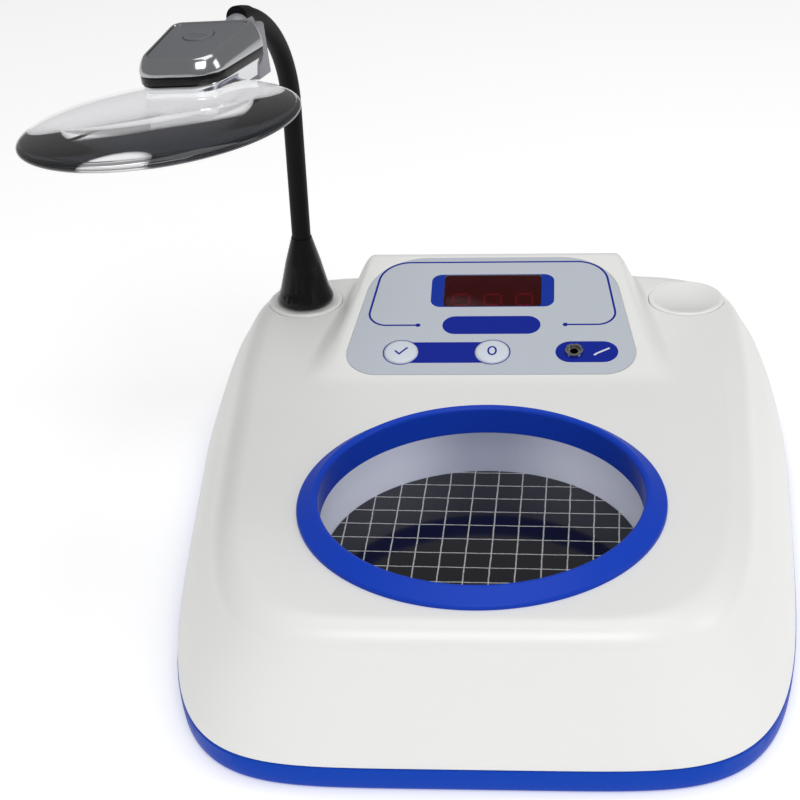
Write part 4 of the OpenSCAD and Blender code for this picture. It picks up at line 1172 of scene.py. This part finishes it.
class COUNTER_OT_neck(bpy.types.Operator):
    """Neck: four stretches of matte sleeve, each round one of the bend points, and the ferrule at its end."""

    bl_idname = "counter.neck"
    bl_label = "Neck"

    def execute(self, context):
        arm, head = sizes(context.scene.counter.arm), sizes(context.scene.counter.head)
        line, lateral = neck_line(arm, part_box("arm_cone")[1].z / MM)
        arc, end = arm.bend_r * arm.sweep, arm.bend_r * head.neck_turn
        bends = [20 - arm.straight, 44 - arm.straight, arc * 0.36, arc * 0.72]
        cuts = [-arm.straight, *[(a + b) / 2 for a, b in zip(bends, bends[1:])], end]
        nodes = [["neck_root"], ["neck_low"], ["neck_middle", "neck_high"], ["neck_tip"]]
        ring_gap, reach = 0.9, 8.0
        for k, bend in enumerate(bends):
            s = np.linspace(cuts[k], cuts[k + 1], max(8, round((cuts[k + 1] - cuts[k]) / ring_gap)))
            radius = arm.neck_r
            if k == len(bends) - 1:
                over = np.clip((s - end) / arm.neck_r + 1, 0, 0.999)
                radius = arm.neck_r * np.sqrt(1 - over ** 2)
            sleeve = skin(f"neck_sleeve_{k + 1}", tube_rings(line, lateral, s, radius))
            pivot, along, _ = (v[0] for v in line([bend]))
            low, high = (pivot - reach * along) * MM, (pivot + reach * along) * MM
            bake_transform(sleeve)
            dressed(sleeve, "neck_black", None, nodes[k])
        collar = skin("ferrule", tube_rings(line, lateral, np.linspace(arc - 1, end, 8), arm.neck_r + 0.45))
        dressed(collar, "neck_black", "neck_d", ["neck_ferrule"])
        return {"FINISHED"}


# ---------- magnifier head ----------
class COUNTER_OT_lens(bpy.types.Operator):
    """Lens: an ellipsoid of revolution, flat as a bun, with a round edge."""

    bl_idname = "counter.lens"
    bl_label = "Lens"

    def execute(self, context):
        lens = revolved("lens", lens_section(sizes(context.scene.counter.head)), 256, False, head_axes(), 80)
        dressed(lens, "lens_clear", "head", ["magnifier_lens"])
        return {"FINISHED"}


def lens_section(head, grow=0.0):
    """Half ellipse from pole to pole: r = R sin t, z = -h cos t."""
    t = np.linspace(0, math.pi, 97)
    return np.stack([(head.lens_r + grow) * np.sin(t), -(head.lens_t / 2 + grow) * np.cos(t)], 1)


def head_outline(head, grow):
    """The head's outline, wider at the rear, with round front corners, moved outwards by grow."""
    near, far = head.width / 2 + grow, (head.width + head.spread) / 2 + grow
    front, rear = head.front - grow, head.rear + min(grow, 0)
    corners = [[-near, front], [near, front], [far, rear], [-far, rear]]
    return softened(corners, [11 + grow, 11 + grow, 3.5, 3.5], 12)


def head_ring(head, grow, z, share):
    """The outline at height z, tipped by share of the top's slant."""
    ring = head_outline(head, grow)
    return at_height(ring, z + share * head.slant * (ring[:, 1] - head.front))


class COUNTER_OT_head(bpy.types.Operator):
    """Head: bright cover with a satin top and an oval button, black band, plated clamp, screws and lamp."""

    bl_idname = "counter.head"
    bl_label = "Head"

    def execute(self, context):
        head = sizes(context.scene.counter.head)
        on_head = head_axes()
        self.cover(head, on_head)
        self.button(head, on_head)
        low, high = head.band_low, head.band_high
        steps = [(0, low + 0.05), (0.15, low + 0.5), (0.15, high - 0.5), (0, high - 0.05)]
        band = skin("black_band", [head_ring(head, grow, z, 0) for grow, z in steps], matrix=on_head)
        dressed(band, "band_black", "head", ["head_band"])
        self.clamp(head, on_head)
        return {"FINISHED"}

    def cover(self, head, on_head):
        """Cover with rounded shoulders, and the tongue that takes the tilt pin."""
        low, top = head.band_high, head.top
        steps = [(0.3, low, 0), (0.35, low + 0.9, 0.1), (0.1, low + 2.0, 0.3), (-0.5, low + 3.4, 0.6),
                 (-1.2, low + 4.6, 0.85), (-1.8, top - 0.7, 1), (-2.3, top - 0.2, 1), (-3.0, top, 1),
                 (-3.3, top - 0.1, 1), (-3.4, top - 0.7, 1)]
        cover = skin("cover", [head_ring(head, *step) for step in steps], matrix=on_head)
        pin, end, half = pin_on_head(), head.tongue_r, head.tongue_half
        long = end + pin[1] - head.rear + 4
        place = on_head @ axes_at([pin[0], pin[1] + end - long / 2, pin[2]], [0, 1, 0], [1, 0, 0])
        tongue = prism("tongue", stadium(long, 2 * end), [(0, -half), (0, half)], place)
        dressed(joined("head_cover", [cover, tongue]), "head_silver", "head", ["head_shell"])

    def button(self, head, on_head):
        """Satin plate set in the cover's top, and the oval button in a gap through it, both on its slant."""
        top = head.top
        steps = ((-3.75, top - 1.6, 1), (-3.75, top - 0.55, 1), (-3.9, top - 0.4, 1), (-4.2, top - 0.35, 1))
        plate = skin("head_plate", [head_ring(head, *step) for step in steps], matrix=on_head)
        t = round_steps(96)
        oval = np.stack([np.cos(t) * head.button_w, np.sin(t) * head.button_l], 1) / 2
        middle = shifted(on_head, 0, head.button_y)
        gap = prism("gap", grown(oval, 0.45), [(0, top - 5), (0, top + 12)], middle)
        dressed(carved(plate, [gap]), "head_silver", "head", ["head_shell"], "head_top")
        rise = top + head.slant * (head.button_y - head.front + oval[:, 1])
        section = ((0, -1.1), (0, -0.25), (-0.12, 0.0), (-0.4, 0.12), (-1.5, 0.2), (-4.2, 0.32))
        rings = [at_height(grown(oval, grow), rise + z) for grow, z in section]
        button = skin("light_button", rings, matrix=middle)
        dressed(button, "head_silver", "head_button", ["head_button"], "head_top")

    def clamp(self, head, on_head):
        """Plated pad on the lens and jaw round its rear edge, both shaped to it, with screws and lamp."""
        low, under, jaw_y, fitting_y = head.band_low, -8, 54, 57.8
        lip = head_outline(head, -1.6)
        lip[:, 1] -= np.where(lip[:, 1] < head.front + 12, 2.6, 0)
        steps = ((-1.6, 2.0), (-0.9, low - 2.6), (-0.2, low - 1.6), (0, low - 0.8), (-0.2, low - 0.1))
        pad = skin("pad", [at_height(grown(lip, grow), z) for grow, z in steps], matrix=on_head)
        section = edge_section(under, 2, 0.4, 3, 1.2)
        jaw = prism("jaw", box_outline(20, 15, 2), section, shifted(on_head, 0, jaw_y))
        shaped = []
        for part in (pad, jaw):
            room = revolved("room", lens_section(head, 0.08), 128, False, on_head, 80)
            shaped.append(carved(part, [room], 40))
        dressed(joined("clamp", shaped), "clamp_chrome", "head", ["lens_clamp"])
        screws = []
        for x in (-6, 6):
            place = on_head @ axes_at([x, fitting_y, under], [1, 0, 0], [0, 0, -1])
            section = [(0, -0.3), (2.1, -0.3), (2.1, 0.9), (1.5, 1.5), (0.7, 1.7), (0, 1.7)]
            screws.append(revolved("screw", section, 40, False, place))
        dressed(joined("clamp_screw_heads", screws), "screw_steel", "head", ["clamp_screws"])
        lamp_r = 2.4
        t = np.linspace(0, math.pi / 2, 10)
        dome = [(0, -0.3), (lamp_r, -0.3), *zip(lamp_r * np.cos(t), 0.6 + lamp_r * np.sin(t))]
        place = on_head @ axes_at([0, fitting_y, under], [1, 0, 0], [0, 0, -1])
        dressed(revolved("lamp_dome", dome, 48, False, place), "lamp_lens", "head", ["head_lamp"])


class COUNTER_OT_knuckle(bpy.types.Operator):
    """Knuckle: two ears on the pin, a grooved block behind them and a round barrel that takes the neck."""

    bl_idname = "counter.knuckle"
    bl_label = "Knuckle"

    def execute(self, context):
        head = sizes(context.scene.counter.head)
        on_head = head_axes()
        pin = pin_on_head()
        parts = [self.block(head, on_head, pin[1])]
        inner, outer, ear_r = head.tongue_half + 0.75, head.block_half, head.ear_r
        section = [(0, inner), (ear_r - 0.3, inner), (ear_r, inner + 0.3), (ear_r, outer - 0.9),
                   (ear_r - 0.9, outer), (0, outer)]
        for side in (-1, 1):
            place = on_head @ axes_at(pin * [0, 1, 1], [0, side, 0], [side, 0, 0])
            parts.append(revolved("ear", section, 96, False, place))
        barrel_r, barrel_z = 6, 15.6
        t = np.linspace(-math.pi / 2, 0, 12)
        dome = zip(barrel_r * np.cos(t), barrel_r + barrel_r * np.sin(t))
        barrel = [*dome, (barrel_r, 11), (barrel_r - 0.6, 11.6), (0, 11.6)]
        place = on_head @ axes_at([0, pin[1] + 3.3, barrel_z], [-1, 0, 0], [0, 1, 0])
        parts.append(revolved("barrel", barrel, 72, False, place))
        dressed(joined("knuckle_block", parts), "knuckle_grey", "neck_d", ["knuckle"])
        refinished("tilt_pin", "tilt_pin_rod", "screw_steel", "neck_d")
        return {"FINISHED"}

    def block(self, head, on_head, y):
        """Block behind the pin, slotted for the tongue and grooved across its face."""
        x, inner, deep, back = head.block_half, head.tongue_half + 0.75, head.tongue_r + 0.7, 13.5
        plan_points = [[-x, y], [-inner, y], [-inner, y + deep], [inner, y + deep], [inner, y], [x, y],
                       [x, y + back], [-x, y + back]]
        outline = softened(plan_points, [0.8, 0, 0, 0, 0, 0.8, 3, 3], 5)
        block = prism("block", outline, edge_section(-4, head.block_top, 1.2, 5, 0.8), on_head)
        place = on_head @ axes_at([4, y, 0], [1, 0, 0], [0, -1, 0])
        return carved(block, [ribbon("groove", [[-14, -1.9], [14, 12.1]], 0.55, -0.5, 0.9, place)])


class COUNTER_OT_rear(bpy.types.Operator):
    """Rear: mains inlet with pins and fuse drawer, and the rocker switch."""

    bl_idname = "counter.rear"
    bl_label = "Rear fittings"

    def execute(self, context):
        for node, name, slot, body in (
            ("power_inlet", "inlet_body", "fitting_black", "base"),
            ("inlet_pins", "inlet_blades", "brass", "base"),
            ("fuse_drawer", "fuse_cover", "fitting_black", "base"),
            ("rocker_frame", "switch_frame", "fitting_black", "base"),
            ("power_rocker", "switch_rocker", "fitting_black", "power_rocker"),
        ):
            refinished(node, name, slot, body, 0.25, 40)
        return {"FINISHED"}


class COUNTER_OT_inside(bpy.types.Operator):
    """Inside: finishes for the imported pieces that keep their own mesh."""

    bl_idname = "counter.inside"
    bl_label = "Inside"

    def execute(self, context):
        slots = {part["node"]: part["material_slot"] for part in frame["record"]["subparts"]}
        for node, piece in frame["nodes"].items():
            if not piece.hide_render:
                piece.data.materials.clear()
                piece.data.materials.append(FINISHES[slots[node]])
        return {"FINISHED"}


# ---------- stage ----------
def softbox(name, place, aim, size, power):
    """Rectangular area light at place in metres, facing aim."""
    data = bpy.data.lights.new(name, "AREA")
    data.shape = "RECTANGLE"
    data.size, data.size_y = size
    data.energy = power
    lamp = bpy.data.objects.new(name, data)
    lamp.location = place
    lamp.rotation_euler = (Vector(aim) - Vector(place)).to_track_quat("-Z", "Y").to_euler()
    bpy.context.scene.collection.objects.link(lamp)


class COUNTER_OT_stage(bpy.types.Operator):
    """Stage: pale floor, soft light and the camera."""

    bl_idname = "counter.stage"
    bl_label = "Stage"

    def execute(self, context):
        scene = context.scene
        stage = scene.counter.stage
        half = stage.floor / 2
        mesh = bpy.data.meshes.new("floor")
        corners = [(-half, -half, 0), (half, -half, 0), (half, half, 0), (-half, half, 0)]
        mesh.from_pydata(corners, [], [(0, 1, 2, 3)])
        floor = bpy.data.objects.new("floor", mesh)
        scene.collection.objects.link(floor)
        paint = Finish("floor_paper", (0.86, 0.86, 0.86), 0.9)
        paint.drive("Base Color", paint.blend(paint.noise(400.0), (0.85, 0.85, 0.85), (0.88, 0.88, 0.88)))
        paint.constant("Emission Color", (1, 1, 1, 1))
        paint.constant("Emission Strength", 0.35)
        mesh.materials.append(paint.material)
        world = bpy.data.worlds.new("studio")
        world.use_nodes = True
        sky = world.node_tree.nodes["Background"].inputs
        sky["Color"].default_value = (1, 1, 1, 1)
        sky["Strength"].default_value = 0.30
        scene.world = world
        softbox("front_softbox", (0.10, -1.35, 1.75), (0, 0.05, 0.05), (1.3, 0.9), 19.5)
        softbox("top_softbox", (0.1, 0.2, 1.7), (0, 0.05, 0), (1.4, 1.0), 7.5)
        softbox("side_softbox", (1.6, -0.1, 0.9), (0, 0.05, 0.05), (0.6, 1.0), 4)
        data = bpy.data.cameras.new("camera")
        data.lens = stage.lens
        data.sensor_width = 36
        data.clip_start = 0.01
        camera = bpy.data.objects.new("camera", data)
        camera.location = (stage.camera_x, stage.camera_y, stage.camera_z)
        look = Euler((math.pi / 2 - stage.pitch, 0, stage.azimuth), "XYZ").to_matrix()
        camera.rotation_euler = (look @ Euler((0, 0, -stage.roll)).to_matrix()).to_euler()
        scene.collection.objects.link(camera)
        scene.camera = camera
        scene.view_settings.view_transform = "Standard"
        return {"FINISHED"}


class COUNTER_PT_panel(bpy.types.Panel):
    """Buttons that build the counter piece by piece."""

    bl_label = "Colony Counter"
    bl_idname = "COUNTER_PT_panel"
    bl_space_type = "VIEW_3D"
    bl_region_type = "UI"
    bl_category = "Counter"

    def draw(self, context):
        for operator in OPERATORS:
            self.layout.operator(operator.bl_idname)
        for group in ("housing", "well", "panel", "arm", "head", "colours", "stage"):
            box = self.layout.box()
            box.label(text=group.capitalize())
            settings = getattr(context.scene.counter, group)
            for name in type(settings).__annotations__:
                box.prop(settings, name)


OPERATORS = (
    COUNTER_OT_stage,
    COUNTER_OT_housing,
    COUNTER_OT_base,
    COUNTER_OT_well,
    COUNTER_OT_panel,
    COUNTER_OT_keys,
    COUNTER_OT_arm,
    COUNTER_OT_neck,
    COUNTER_OT_lens,
    COUNTER_OT_head,
    COUNTER_OT_knuckle,
    COUNTER_OT_rear,
    COUNTER_OT_inside,
)
CLASSES = (
    HousingSizes,
    WellSizes,
    PanelSizes,
    ArmSizes,
    HeadSizes,
    Colours,
    StageSizes,
    CounterSettings,
    *OPERATORS,
    COUNTER_PT_panel,
)


def register():
    for cls in CLASSES:
        bpy.utils.register_class(cls)
    bpy.types.Scene.counter = PointerProperty(type=CounterSettings)


def unregister():
    del bpy.types.Scene.counter
    for cls in reversed(CLASSES):
        bpy.utils.unregister_class(cls)


def main():
    register()
    FINISHES.update(finishes(bpy.context.scene.counter))
    for operator in OPERATORS:
        group, name = operator.bl_idname.split(".")
        getattr(getattr(bpy.ops, group), name)()


if __name__ == "__main__":
    main()
